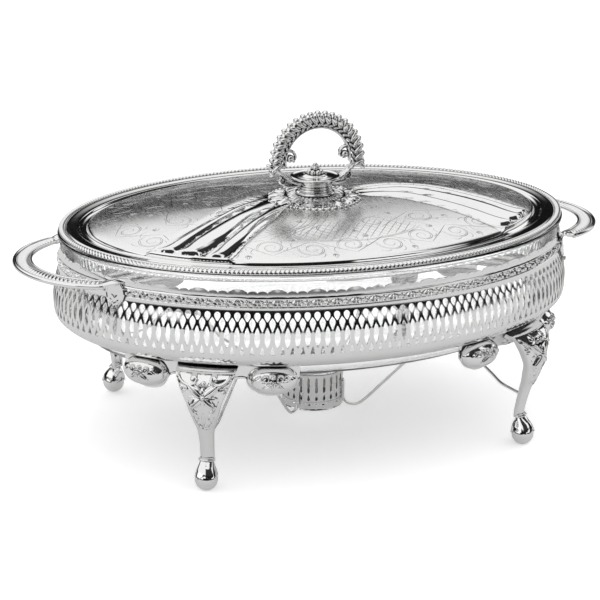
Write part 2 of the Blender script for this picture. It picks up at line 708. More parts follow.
def sprig(x, y, ang, L, w=0.5):
    """Small three-leaf sprig."""
    for d, k in ((0, 1.0), (0.55, 0.75), (-0.55, 0.75), (1.0, 0.5), (-1.0, 0.5)):
        a = ang + d
        s = np.linspace(0, 1, 9)
        for side in (1, -1):
            b = side * 0.16 * L * k * np.sin(pi * s)
            px = x + k * L * s * cos(a) - b * sin(a)
            py = y + k * L * s * sin(a) + b * cos(a)
            stroke(np.stack([px, py], 1), w)


def round_rim(off, n, r, phase, hand0=1, skip=None):
    """A running scroll parallel to the rim."""
    P, N, _ = oval(n, off, phase)
    C = P + off * N
    T = np.stack([-N[:, 1], N[:, 0]], 1)
    for i in range(n):
        hand = hand0 if i % 2 else -hand0
        sg = 1 if i % 2 else -1
        c = C[i] + sg * 0.16 * r * N[i]
        base = math.degrees(math.atan2(N[i, 1], N[i, 0])) + (180 if sg > 0 else 0) + 60 * hand
        swirl(c[0], c[1], r, base, hand)
        j = (i + 1) % n
        # stem between neighbours
        A_, B_ = C[i] - sg * 0.92 * r * N[i] * 0.9, C[j] + sg * 0.92 * r * N[j] * 0.9
        m = (C[i] + C[j]) / 2
        stroke(resample([A_, m, B_], n=16), 0.6)
        g = m + sg * 0.9 * r * N[i]
        sprig(g[0], g[1], math.atan2(N[i, 1], N[i, 0]) * 1.0 + (0 if sg > 0 else pi), r * 0.5)


round_rim(-39.5, 28, 11.5, 0.019)
round_rim(-72, 16, 11.5, 0.03, -1)
round_rim(-101, 8, 10.0, 0.06)
# long loops that gather towards the knob
for sx in (-1, 1):
    for sy in (-1, 1):
        for k in range(5):
            p = [(sx * (6 + 5 * k), sy * 40), (sx * (18 + 7 * k), sy * (58 + 1.5 * k)), (sx * (36 + 8 * k), sy * (72 - 1.2 * k)), (sx * (48 + 9 * k), sy * (84 - 4 * k))]
            stroke(resample(p, n=30), 0.5)
# diaper work in the middle of the front and back panels
for sy in (-1, 1):
    for k in range(-9, 10):
        for d in (1, -1):
            s = np.linspace(-30, 30, 61)
            x = k * 6.0 + s * 0.62
            y = sy * 74 + d * s * 0.78
            ok = (np.abs(x) / 46) ** 1.6 + (np.abs(y - sy * 74) / 19) ** 2 < 1
            idx = np.where(ok)[0]
            if len(idx) > 3:
                stroke(np.stack([x[idx], y[idx]], 1), 0.42)
    e = np.linspace(0, 2 * pi, 90)
    for g in (1.0, 1.06):
        stroke(np.stack([46 * g * np.sign(np.cos(e)) * np.abs(np.cos(e)) ** 1.2, sy * 74 + 19.5 * g * np.sin(e)], 1), 0.6)
    for i in range(7):
        x = -36 + 12 * i
        stroke(np.stack([x + 1.3 * np.cos(e[::6]), sy * 74 + 1.3 * np.sin(e[::6])], 1), 0.5)


def engraving():
    m = Mesh()
    for p, w in strokes:
        p = resample(p, step=1.1) if len(p) > 2 else p
        x, y = p[:, 0], p[:, 1]
        o = oval_distance(x, y)
        ok = (o < -23.6) & (np.hypot(x, y) > 36.5) & (plain_ribs(x, y) < 0.02)
        run = []
        for i in range(len(p) + 1):
            if i < len(p) and ok[i]:
                run.append(i)
                continue
            if len(run) > 3:
                q = p[run]
                t = unit(np.gradient(q, axis=0))
                nn = np.stack([-t[:, 1], t[:, 0]], 1)
                f = np.linspace(0, 1, len(q))
                ww = w * 0.62 * (0.25 + 0.75 * np.sin(pi * f) ** 0.45)[:, None]
                L_, R_ = q + nn * ww, q - nn * ww
                z = [lid_height(a[:, 0], a[:, 1]) for a in (L_, q, R_)]
                k = 0.10 * np.sin(pi * f) ** 0.4
                G = np.stack([np.column_stack([L_, z[0] - 0.03]), np.column_stack([q, z[1] + k]), np.column_stack([R_, z[2] - 0.03])], 1)
                m.join(grid(G, flip=True))
            run = []
    return m


piece("lid_engraved_scrolls", engraving(), SILVER_ENGRAVED, "lid", sharp=12)


def rope_border():
    n_l = 336
    k = 8
    P, N, _ = oval(n_l * k)
    u = np.arange(n_l * k) / k
    ph = np.linspace(0, pi, 11)
    out = []
    for j, f in enumerate(ph):
        lobe = np.abs(np.sin(pi * (u + 0.9 * f / pi))) ** 0.7
        r = 0.38 + 0.62 * lobe
        o = -2.45 + 2.35 * math.cos(f) * (0.86 + 0.14 * lobe)
        z = 157.22 + 2.15 * math.sin(f) ** 0.8 * r
        out.append(np.concatenate([P + o[:, None] * N, (z + 0 * o)[:, None]], 1))
    G = np.stack(out, 1)
    low = np.stack([np.concatenate([P + o * N, np.full((len(P), 1), 157.05)], 1) for o in (-4.8, -0.1)], 1)
    G = np.concatenate([G, low], 1)
    return grid(G, cu=True, cv=True, flip=False)


piece("lid_rope_border", rope_border(), SILVER_ROPE, "lid", ("lid_gadroon_border",), sharp=60)


# ---------------------------------------------------------------- pierced gallery
NC = 156  # pierced cells round the frame
PITCH = 6.876
ROLL = 15.0


def wall_offset(z):
    """Offset of the gallery's outer face at each height."""
    z = arr(z)
    up = pchip([104, 108, 112, 116, 120, 124, 128, 131, 133, 139.5, 145.5], [4.8, 4.8, 4.66, 4.2, 3.44, 2.5, 1.46, 0.75, 0.45, 0.0, -0.85], z)
    low = -10.2 + np.sqrt(np.maximum(ROLL**2 - (104 - np.minimum(z, 104)) ** 2, 0))
    return np.where(z >= 104, up, low)


def on_wall(u, z, inset=0.0):
    """Points on the gallery wall: u counts cells, inset is into the metal."""
    u, z, inset = np.broadcast_arrays(arr(u), arr(z), arr(inset))
    P, N = oval_at(u / NC)
    e = 0.01
    do = (wall_offset(z + e) - wall_offset(z - e)) / (2 * e)
    k = 1 / np.sqrt(1 + do * do)
    o = wall_offset(z) - inset * k
    return np.concatenate([P + o[..., None] * N, (z + inset * do * k)[..., None]], -1)


def inside_poly(x, y, poly):
    poly = arr(poly)
    c = np.zeros(x.shape, bool)
    j = len(poly) - 1
    for i in range(len(poly)):
        xi, yi, xj, yj = *poly[i], *poly[j]
        if yi != yj:
            c ^= ((yi > y) != (yj > y)) & (x < (xj - xi) * (y - yi) / (yj - yi) + xi)
        j = i
    return c


def loop_drop(cx, top, bot, w):
    """Round above and pointed below."""
    zc = top - w
    a = np.linspace(0, pi, 9)
    p = [(cx + w * cos(t), zc + w * sin(t)) for t in a]
    p += [(cx - w * k, zc - (zc - bot) * s) for k, s in ((0.93, 0.25), (0.68, 0.55), (0.35, 0.82), (0, 1))]
    p += [(cx + w * k, zc - (zc - bot) * s) for k, s in ((0.35, 0.82), (0.68, 0.55), (0.93, 0.25))]
    return p


def loop_eye(cx, top, bot, w, n=7):
    zc, h = (top + bot) / 2, (top - bot) / 2
    t = np.linspace(-1, 1, n * 2 + 1)
    side = [(w * (1 - abs(s) ** 2.1) ** 0.85, zc + h * s) for s in t]
    return [(cx + a, b) for a, b in side] + [(cx - a, b) for a, b in side[-2:0:-1]]


def cell(holes, half_holes, z0, z1, steps, extra=()):
    """One pitch of a pierced band. half_holes sit on the two sides of the cell."""
    p = PITCH
    out = [(-p / 2 + p * i / steps, z0) for i in range(steps + 1)]

    def side(sgn):
        q = []
        for h in half_holes:
            q += [(sgn * p / 2 - sgn * a, b) for a, b in h]
        return q

    right = side(1)
    left = side(-1)[::-1]
    out += right
    out += [(p / 2 - p * i / steps, z1) for i in range(steps + 1)]
    out += left
    pts = list(out)
    n = len(pts)
    edges = [(i, (i + 1) % n) for i in range(n)]
    for h in holes:
        b = len(pts)
        pts += h
        edges += [(b + i, b + (i + 1) % len(h)) for i in range(len(h))]
    for q in extra:
        pts.append(q)
    V, E, F = delaunay_2d_cdt([Vector(q) for q in pts], edges, [], 0, 1e-5)[:3]
    V = arr([[v.x, v.y] for v in V])
    c = arr([V[list(f)].mean(0) for f in F])
    keep = inside_poly(c[:, 0], c[:, 1], out)
    for h in holes:
        keep &= ~inside_poly(c[:, 0], c[:, 1], h)
    F = [f for f, k in zip(F, keep) if k]
    # open edges that are hole walls: used once and not on the outer frame
    cnt = {}
    for f in F:
        for i in range(len(f)):
            e = (f[i], f[(i + 1) % len(f)])
            cnt[e] = cnt.get(e, 0) + 1
    walls = []
    for (a, b) in cnt:
        if (b, a) in cnt:
            continue
        xa, za, xb, zb = *V[a], *V[b]
        if abs(za - zb) < 1e-4 and (abs(za - z0) < 1e-3 or abs(za - z1) < 1e-3):
            continue
        if abs(abs(xa) - p / 2) < 1e-4 and abs(abs(xb) - p / 2) < 1e-4:
            continue
        walls.append((a, b))
    return V, F, walls


def half(h, p=PITCH):
    """The half of a loop at x >= 0, from bottom to top."""
    q = [(max(a, 0.0), b) for a, b in h if a >= -1e-6]
    q.sort(key=lambda t: t[1])
    return q


def band(V, F, walls, place, n, inset):
    """Lay a cell n times round: outer face, inner face and hole walls."""
    m = Mesh()
    k = len(V)
    fo, fi, fw = [], [], []
    allv = []
    for i in range(n):
        o = place(V[:, 0] / PITCH + i, V[:, 1], 0.0)
        q = place(V[:, 0] / PITCH + i, V[:, 1], inset)
        allv += [o, q]
        b = 2 * k * i
        fo += [tuple(b + j for j in f) for f in F]
        fi += [tuple(b + k + j for j in reversed(f)) for f in F]
        fw += [(b + y, b + x, b + k + x, b + k + y) for x, y in walls]
    return m.add(np.concatenate(allv), fo + fi + fw)


def bump_e(u, z, cu, cz, ru, rz, h, turn=0.0):
    """Rounded embossed spot with centre (cu, cz) in mm along and up the wall."""
    du, dz = u - cu, z - cz
    if turn:
        du, dz = du * cos(turn) + dz * sin(turn), -du * sin(turn) + dz * cos(turn)
    return h * np.sqrt(np.maximum(1 - (du / ru) ** 2 - (dz / rz) ** 2, 0))


def gallery():
    p = PITCH
    Z0, Z1 = 100.0, 131.0
    drop = loop_drop(0, 130.3, 124.0, 2.2)
    eye = loop_eye(0, 120.6, 105.8, 2.0)
    kite = [(0, 117.2), (0.75, 118.6), (1.5, 120.5), (2.05, 122.1), (2.2, 123.0), (1.95, 124.2), (1.25, 125.3), (0.5, 126.2), (0, 126.8)]
    tri = [(0, 100.9), (0.9, 101.0), (1.5, 101.5), (1.6, 102.2), (1.1, 104.2), (0.5, 106.4), (0, 107.6)]
    extra = [(x * p, z) for z in (102.6, 104.0) for x in (-0.16, 0.0, 0.16)] + [(0.42 * p, 128.0), (-0.42 * p, 128.0)]
    S = 6
    V, F, W = cell([drop, eye], [tri, kite], Z0, Z1, S, extra)
    m = band(V, F, W, on_wall, NC, 1.2)
    k = S * 2
    nu = NC * k
    u = np.arange(nu) / k - 0.5
    # top band: embossed flowers under a scalloped rim
    g = np.mod(u + 0.0, 4.0)
    sc = np.where(g < 2, 143.1 + 2.5 * np.sqrt(np.maximum(1 - (g - 1) ** 2, 0)) ** 1.0,
                  143.0 + 1.7 * np.sqrt(np.maximum(1 - (2 * np.mod(g, 1) - 1) ** 2, 0)))
    rows = [131.0, 131.8, 132.6, 133.0, 133.35, 133.8, 134.3, 134.8, 135.3, 135.8, 136.3, 136.8, 137.3, 137.8, 138.3, 138.8, 139.2, 139.6, 140.0]
    Z = np.repeat(arr(rows)[None], nu, 0)
    t = np.linspace(0, 1, 6)[1:]
    Z = np.concatenate([Z, 140.0 + (sc[:, None] - 140.0) * t[None]], 1)
    U = np.repeat(u[:, None], Z.shape[1], 1)
    um = np.mod(U, 2.0) * p
    h = np.zeros_like(Z)
    for c in (0.0, 2 * p):
        h = np.maximum(h, bump_e(um, Z, c, 136.3, 0.85, 0.85, 0.85))
        for i in range(6):
            a = i * pi / 3
            h = np.maximum(h, bump_e(um, Z, c + 1.55 * cos(a), 136.3 + 1.55 * sin(a), 1.0, 0.6, 0.6, a))
    for c, s in ((p * 0.62, 1), (p * 1.38, -1)):
        h = np.maximum(h, bump_e(um, Z, c, 137.2, 1.9, 0.7, 0.55, s * 0.7))
        h = np.maximum(h, bump_e(um, Z, c, 135.2, 1.9, 0.7, 0.55, -s * 0.7))
    h = np.maximum(h, bump_e(um, Z, p, 136.3, 0.9, 2.0, 0.6))
    h = np.maximum(h, bump_e(um, Z, p, 138.6, 0.5, 0.5, 0.5))
    h = np.maximum(h, 0.35 * np.clip(1 - np.abs(Z - 133.3) / 0.5, 0, 1))
    h = np.maximum(h, 0.30 * np.clip(1 - np.abs(Z - 139.5) / 0.45, 0, 1))
    h = h * (1 + 1.3 * step(Z, 133.6, 134.2) * (1 - step(Z, 138.6, 139.2)))
    out = on_wall(U, Z, -h)
    inn = on_wall(U[:, ::3], Z[:, ::3], 1.2)
    last = on_wall(U[:, -1:], Z[:, -1:], 0.9)
    out = np.concatenate([out, on_wall(U[:, -1:], Z[:, -1:] + 0.25, 0.35), last], 1)
    m.join(grid(out, cu=True))
    inn = np.concatenate([inn[:, :-1], last], 1)
    m.join(grid(inn, cu=True, flip=True))
    # lower band: small chased marks, then the plain rolled foot
    k2 = 6
    nu = NC * k2
    u = np.arange(nu) / k2 - 0.5
    rows = [100.0, 99.4, 98.8, 98.2, 97.6, 97.0, 96.4, 95.8, 95.0, 94.0, 93.0, 92.0, 91.2, 90.5, 90.0, 89.5, 89.2]
    Z = np.repeat(arr(rows)[None], nu, 0)
    U = np.repeat(u[:, None], Z.shape[1], 1)
    um = np.mod(U, 2.0) * p
    h = np.zeros_like(Z)
    for c in (0, 2 * p):
        h = np.maximum(h, bump_e(um, Z, c, 97.3, 1.3, 0.9, 0.35))
    h = np.maximum(h, bump_e(um, Z, p, 97.9, 0.9, 0.9, 0.30))
    h = np.maximum(h, bump_e(um, Z, p - 2.4, 96.4, 0.9, 0.7, 0.25))
    h = np.maximum(h, bump_e(um, Z, p + 2.4, 96.4, 0.9, 0.7, 0.25))
    for c, zz in ((0.35 * p, 98.3), (1.65 * p, 98.3), (0.55 * p, 96.6), (1.45 * p, 96.6), (0.3 * p, 95.2), (1.7 * p, 95.2), (p, 95.0)):
        h = np.maximum(h, bump_e(um, Z, c, zz, 0.8, 0.6, 0.25))
    out = on_wall(U, Z, -1.7 * h)
    inn = on_wall(U, Z, 1.2)
    P, N = oval_at(u / NC)
    foot = [np.concatenate([P + o * N, np.full((nu, 1), z)], 1) for o, z in ((-10.2, 89.0), (-12.2, 89.0), (-12.4, 89.25), (-12.4, 90.0), (-12.2, 90.2), (-10.4, 90.2))]
    foot = np.stack(foot, 1)
    ring = np.concatenate([out, foot, inn[:, ::-1]], 1)
    m.join(grid(ring, cu=True, flip=True))
    return m


piece("gallery_pierced_frame", gallery(), SILVER_RELIEF, "stand", ("gallery_frame",), sharp=45, merge=0.004)


# ---------------------------------------------------------------- glass dish
def dish():
    outer = [(-31, 76.0), (-27, 76.4), (-24, 77.4), (-21, 79.0), (-18.6, 80.9), (-16.6, 83.0), (-15.2, 85.4), (-14.0, 88.0), (-13.1, 90.6), (-12.2, 95), (-11.4, 101), (-9.8, 109), (-8.2, 117), (-6.6, 128), (-5.2, 140), (-4.3, 149), (-3.9, 151.2),
             (-3.0, 152.5), (-1.6, 153.1), (0.2, 153.3), (0.75, 153.9), (0.8, 154.8), (0.5, 155.6), (-0.2, 155.95), (-3, 156.0), (-5.6, 156.0), (-6.8, 155.6), (-7.6, 154.6), (-8.2, 152.6), (-8.7, 149),
             (-9.9, 138), (-11.6, 124), (-13.4, 111), (-15.6, 99), (-17.6, 91.5), (-20.4, 86.2), (-24.0, 83.0), (-28, 81.4), (-32, 81.0)]
    n = 480
    P, N, _ = oval(n)
    prof = arr(outer)
    xy = P[:, None] + prof[None, :, :1] * N[:, None]
    z = np.broadcast_to(prof[None, :, 1:], (n, len(prof), 1))
    G = np.concatenate([xy, z], -1)
    rho = arr([0.93, 0.8, 0.6, 0.35])
    lo = np.concatenate([G[:, :1, :2] * rho[None, :, None], np.full((n, 4, 1), 76.0)], -1)[:, ::-1]
    hi = np.concatenate([G[:, -1:, :2] * rho[None, :, None], np.full((n, 4, 1), 81.0)], -1)
    G = np.concatenate([lo, G, hi], 1)
    k = G.shape[1]
    m = grid(G, cu=True, flip=False)
    c = m.n
    m.add([[0, 0, 76.0], [0, 0, 81.0]], [])
    m.f += [(c, (i + 1) % n * k, i * k) for i in range(n)][::1]
    m.f += [(c + 1, i * k + k - 1, (i + 1) % n * k + k - 1) for i in range(n)]
    return m


piece("glass_oval_dish", dish(), GLASS, "dish", ("glass_dish",), sharp=180)


# ---------------------------------------------------------------- relief helpers
def near_curve(X, Z, pts):
    """Distance of grid points from a polyline and the fraction along it."""
    P = arr(pts)
    best = np.full(X.shape, 1e9)
    frac = np.zeros(X.shape)
    n = len(P) - 1
    for i in range(n):
        a, d = P[i], P[i + 1] - P[i]
        L = max(float(d @ d), 1e-9)
        t = np.clip(((X - a[0]) * d[0] + (Z - a[1]) * d[1]) / L, 0, 1)
        q = (X - a[0] - t * d[0]) ** 2 + (Z - a[1] - t * d[1]) ** 2
        k = q < best
        best = np.where(k, q, best)
        frac = np.where(k, (i + t) / n, frac)
    return np.sqrt(best), frac


def cordon(X, Z, pts, r, h, taper=0.0):
    """Raised round line along a curve."""
    d, f = near_curve(X, Z, pts)
    rr = r * (1 - taper * f)
    return h * (1 - taper * 0.5 * f) * np.sqrt(np.maximum(1 - (d / np.maximum(rr, 1e-3)) ** 2, 0))


def spiral(cx, cz, r0, r1, a0, a1, n=26):
    a = np.linspace(rad(a0), rad(a1), n)
    r = np.linspace(r0, r1, n)
    return np.stack([cx + r * np.cos(a), cz + r * np.sin(a)], 1)


def petal(X, Z, x0, z0, x1, z1, w, h):
    """Raised leaf from (x0, z0) to (x1, z1) with a sunk mid rib."""
    dx, dz = x1 - x0, z1 - z0
    L = math.hypot(dx, dz)
    u = ((X - x0) * dx + (Z - z0) * dz) / L / L
    v = ((X - x0) * -dz + (Z - z0) * dx) / L
    ww = w * np.sin(pi * np.clip(u, 0, 1) ** 0.75) ** 0.7
    k = (u > 0) & (u < 1)
    s = np.abs(v) / np.maximum(ww, 1e-3)
    body = np.sqrt(np.maximum(1 - s * s, 0))
    groove = 0.55 * np.exp(-((v / 0.42) ** 2))
    return np.where(k, h * np.maximum(body - groove * (s < 1), 0), 0)


# ---------------------------------------------------------------- legs
FOOT = (122.7, 105.5)
TURN = rad(31)
leg_z = [91, 89.4, 88.3, 87.1, 85, 83, 80, 74, 66, 58, 50, 45, 38, 32, 26, 22]
leg_hw = [21.2, 21.1, 21.0, 20.8, 20.0, 19.2, 18.0, 15.5, 12.0, 9.7, 7.2, 5.7, 5.0, 4.8, 4.7, 4.7]
leg_out = [-9.0, -7.4, -3.4, 0.8, 4.0, 5.8, 7.4, 9.1, 9.8, 7.8, 5.0, 2.8, 0.6, -1.0, -2.3, -2.7]
leg_bulge = [1.0, 1.3, 2.0, 2.7, 3.1, 3.3, 3.4, 3.4, 3.1, 2.9, 2.7, 2.5, 2.4, 2.3, 2.3, 2.3]


def leg_relief(X, Z):
    ax = np.abs(X)
    h = np.zeros_like(X)
    # scroll border under the smooth knee
    h = np.maximum(h, cordon(ax, Z, resample([(17.8, 84.6), (14.6, 81.4), (10.4, 80.0), (6.9, 80.9), (5.0, 83.4), (6.2, 85.4), (8.2, 84.9), (8.3, 83.2)], n=26), 0.95, 0.95, 0.25))
    h = np.maximum(h, cordon(ax, Z, resample([(18.2, 83.0), (16.4, 79.8), (13.0, 78.0), (11.2, 79.0)], n=14), 0.7, 0.6, 0.4))
    h = np.maximum(h, bump_e(ax, Z, 7.3, 84.0, 1.0, 1.0, 1.2))
    h = np.maximum(h, bump_e(X, Z, 0, 81.6, 1.5, 1.3, 0.95))
    h = np.maximum(h, bump_e(ax, Z, 2.6, 80.9, 1.1, 0.8, 0.8, 0.5))
    h = np.maximum(h, bump_e(ax, Z, 15.6, 77.6, 1.05, 1.05, 0.95))
    h = np.maximum(h, bump_e(ax, Z, 13.9, 75.9, 0.8, 0.8, 0.7))
    h = np.maximum(h, bump_e(ax, Z, 16.9, 80.2, 0.6, 0.6, 0.6))
    h = np.maximum(h, cordon(ax, Z, spiral(14.9, 76.6, 2.4, 2.0, 200, 330), 0.5, 0.45))
    # flower
    h = np.maximum(h, petal(ax, Z, 0.9, 72.6, 11.0, 80.2, 2.9, 1.3))
    h = np.maximum(h, petal(ax, Z, 0.9, 71.2, 9.4, 63.6, 2.7, 1.3))
    h = np.maximum(h, petal(ax, Z, 1.4, 72.0, 10.4, 71.4, 1.3, 0.7))
    h = np.maximum(h, petal(X, Z, 0, 73.4, 0, 78.4, 1.3, 0.7))
    h = np.maximum(h, petal(X, Z, 0, 70.6, 0, 64.6, 1.3, 0.7))
    h = np.maximum(h, bump_e(X, Z, 0, 72.0, 1.75, 1.75, 1.9))
    h = np.maximum(h, cordon(ax, Z, spiral(4.6, 64.6, 3.4, 2.9, 265, 360), 0.5, 0.5))
    h = np.maximum(h, cordon(ax, Z, resample([(10.6, 68.6), (9.6, 65.0), (7.6, 61.2), (5.6, 59.4)], n=12), 0.45, 0.42, 0.4))
    # bud and small leaves above the shank
    h = np.maximum(h, petal(X, Z, 0, 50.6, 0, 60.4, 1.3, 0.75))
    h = np.maximum(h, petal(ax, Z, 3.4, 56.0, 5.6, 60.0, 1.0, 0.6))
    h = np.maximum(h, bump_e(ax, Z, 3.7, 55.0, 0.8, 0.8, 0.55))
    h = np.maximum(h, cordon(ax, Z, resample([(7.4, 56.5), (6.3, 52.8), (4.4, 49.6), (2.4, 47.7), (0, 46.8)], n=14), 0.6, 0.5))
    h = np.maximum(h, cordon(ax, Z, resample([(4.6, 53.2), (3.0, 50.4), (0, 49.2)], n=10), 0.45, 0.4))
    h = np.maximum(h, petal(ax, Z, 1.2, 49.4, 4.8, 46.6, 0.8, 0.4))
    return h


def leg():
    nz, nw = 150, 76
    zz = np.concatenate([np.linspace(91, 45, 116), np.linspace(45, 20.5, nz - 116 + 1)[1:]])
    hw, out, bl = (pchip(leg_z[::-1], q[::-1], zz) for q in (leg_hw, leg_out, leg_bulge))
    w = np.linspace(-1, 1, nw)
    X = hw[:, None] * w[None]
    Z = np.repeat(zz[:, None], nw, 1)
    arch = (1 - np.abs(w) ** 2.4)[None] * bl[:, None]
    rim = 0.35 * np.exp(-(((1 - np.abs(w))[None] * hw[:, None] - 0.6) / 0.5) ** 2) * step(zz, 44, 50)[:, None]
    Yo = out[:, None] + arch + 1.6 * leg_relief(X, Z) * step(1 - np.abs(w), 0.0, 0.05)[None] + rim
    front = np.stack([X, -Yo, Z], -1)
    fl = np.interp(zz, [20, 40, 60, 80, 91], [2.6, 3.4, 4.6, 5.0, 3.0])  # side flange runs back
    sides = []
    for sgn, ks in ((1, (0.0, 0.35, 0.7, 1.0)), (1, None)):
        if ks is None:
            continue
        for k in ks[1:]:
            sides.append(np.stack([sgn * (hw + 0.15 * k), -(out - fl * k), zz], -1))
    R = np.stack(sides, 1)
    Lf = R[:, ::-1] * arr([-1, 1, 1])
    t = 1.3
    ni = 14
    wi = np.linspace(1, -1, ni)
    Xi = np.maximum(hw - t, 0.5)[:, None] * wi[None]
    Yi = (out - 0.9)[:, None] + ((1 - np.abs(wi) ** 2.4)[None] * bl[:, None]) - 0.5
    inner = np.stack([Xi, -Yi, np.repeat(zz[:, None], ni, 1)], -1)
    ri = np.stack([hw - t, -(out - fl), zz], -1)[:, None]
    li = ri * arr([-1, 1, 1])
    G = np.concatenate([front, R, ri, inner, li, Lf], 1)
    m = grid(G, cv=True)
    n = G.shape[1]
    m.f.append(tuple(range(n)))
    m.f.append(tuple(reversed([(nz - 1) * n + i for i in range(n)])))
    # collar and faceted claw over the ball
    zb = 8.0
    prof = []
    nph, nt = 64, 12
    ph = np.arange(nph) * 2 * pi / nph
    tri = 1 - np.abs(((ph / (pi / 2) + 0.5) % 1.0) - 0.5) * 2  # 0 on the talons' centre lines, 1 between
    talon = 1 - tri
    th_max = rad(58) + rad(34) * talon**1.2
    rows = []
    zl = 12.9 - 4.4 * talon**1.2
    for k in range(nt + 1):
        f = k / nt
        z = 21.3 - f * (21.3 - zl)
        r = np.interp(z, [8.0, 10.5, 14, 18, 21.3], [9.0, 8.85, 7.75, 6.0, 4.9]) * (0.925 + 0.095 * talon**1.5)
        r = np.maximum(r, np.sqrt(np.maximum(8.1**2 - (z - 8) ** 2, 0)) + 0.12)
        yc = 2.1 * (1 - f) ** 1.6
        rows.append(np.stack([r * np.sin(ph), yc - r * np.cos(ph) * (0.55 + 0.45 * min(1, f * 2.2)), z], -1))
    hood = np.stack(rows, 1)
    # throat: from the shank's end to the hood
    nk = 4
    thr = []
    for k in range(nk):
        f = k / nk
        z = 23.2 - 1.9 * f
        rx, ry = 4.75 + 0.1 * f, 2.45 + 0.1 * f
        c, s = np.cos(ph), np.sin(ph)
        thr.append(np.stack([rx * s, 2.1 - ry * c, z + 0 * ph], -1))
    thr = np.stack(thr, 1)
    q = np.concatenate([thr, hood], 1)
    tip = hood[:, -1]
    inn = np.stack([tip * arr([0.93, 0.93, 1.0]) + arr([0, 0, 0.3]), tip * arr([0.5, 0.5, 1.0]) + arr([0, 0, 2.5])], 1)
    q = np.concatenate([q, inn], 1)
    base = m.n
    m.join(grid(q, cu=True))
    k = q.shape[1]
    m.f.append(tuple(reversed([base + i * k for i in range(nph)])))
    m.f.append(tuple([base + i * k + k - 1 for i in range(nph)]))
    # collar ring
    ring = [(5.3 * math.sin(a), 2.1 - 2.9 * math.cos(a), 21.6) for a in np.linspace(0, 2 * pi, 33)[:-1]]
    m.join(tube(ring, 0.75, n=8, up=(0, 0, 1), closed=True))
    # boss that takes the screw
    m.join(lathe([(0, 0), (3.6, 0), (4.0, -0.4), (4.0, -12.5), (0, -12.5)], 32).map(lambda V: np.stack([V[:, 0], 9.3 + V[:, 2], 80 + V[:, 1]], 1)))
    return m


def to_corner(m, sx, sy):
    c, s = cos(TURN), sin(TURN)

    def fn(V):
        x, y = V[:, 0], V[:, 1]
        return np.stack([FOOT[0] + c * x - s * y, -FOOT[1] + s * x + c * y, V[:, 2]], 1)

    return m.map(fn).mirror(sx, sy)


CORNERS = {"front_right": (1, 1), "front_left": (-1, 1), "back_right": (1, -1), "back_left": (-1, -1)}
leg_m = leg()


def foot_ball():
    th = np.linspace(0, pi, 25)
    pr = [(8.1 * math.sin(t), 8.0 + 8.1 * math.cos(t)) for t in th]
    pr = [(r, max(z, 0.0)) for r, z in pr]
    return lathe([(max(r, 0.02), z) for r, z in pr], 48)


for cn, (sx, sy) in CORNERS.items():
    piece("leg_cabriole_" + cn, to_corner(leg_m, sx, sy), SILVER_CAST, "stand", ("leg_" + cn,), sharp=50)
    piece("foot_ball_" + cn, to_corner(foot_ball(), sx, sy), SILVER, "stand", ("ball_foot_" + cn,), sharp=60)


# ---------------------------------------------------------------- aprons with shell bosses
def oval_param(x, y):
    """Cells round the frame at the direction nearest to a point."""
    t = np.linspace(0, 1, 6001)
    P, N = oval_at(t)
    d = np.hypot(P[:, 0] - 11 * N[:, 0] - x, P[:, 1] - 11 * N[:, 1] - y)
    return t[int(np.argmin(d))] * NC


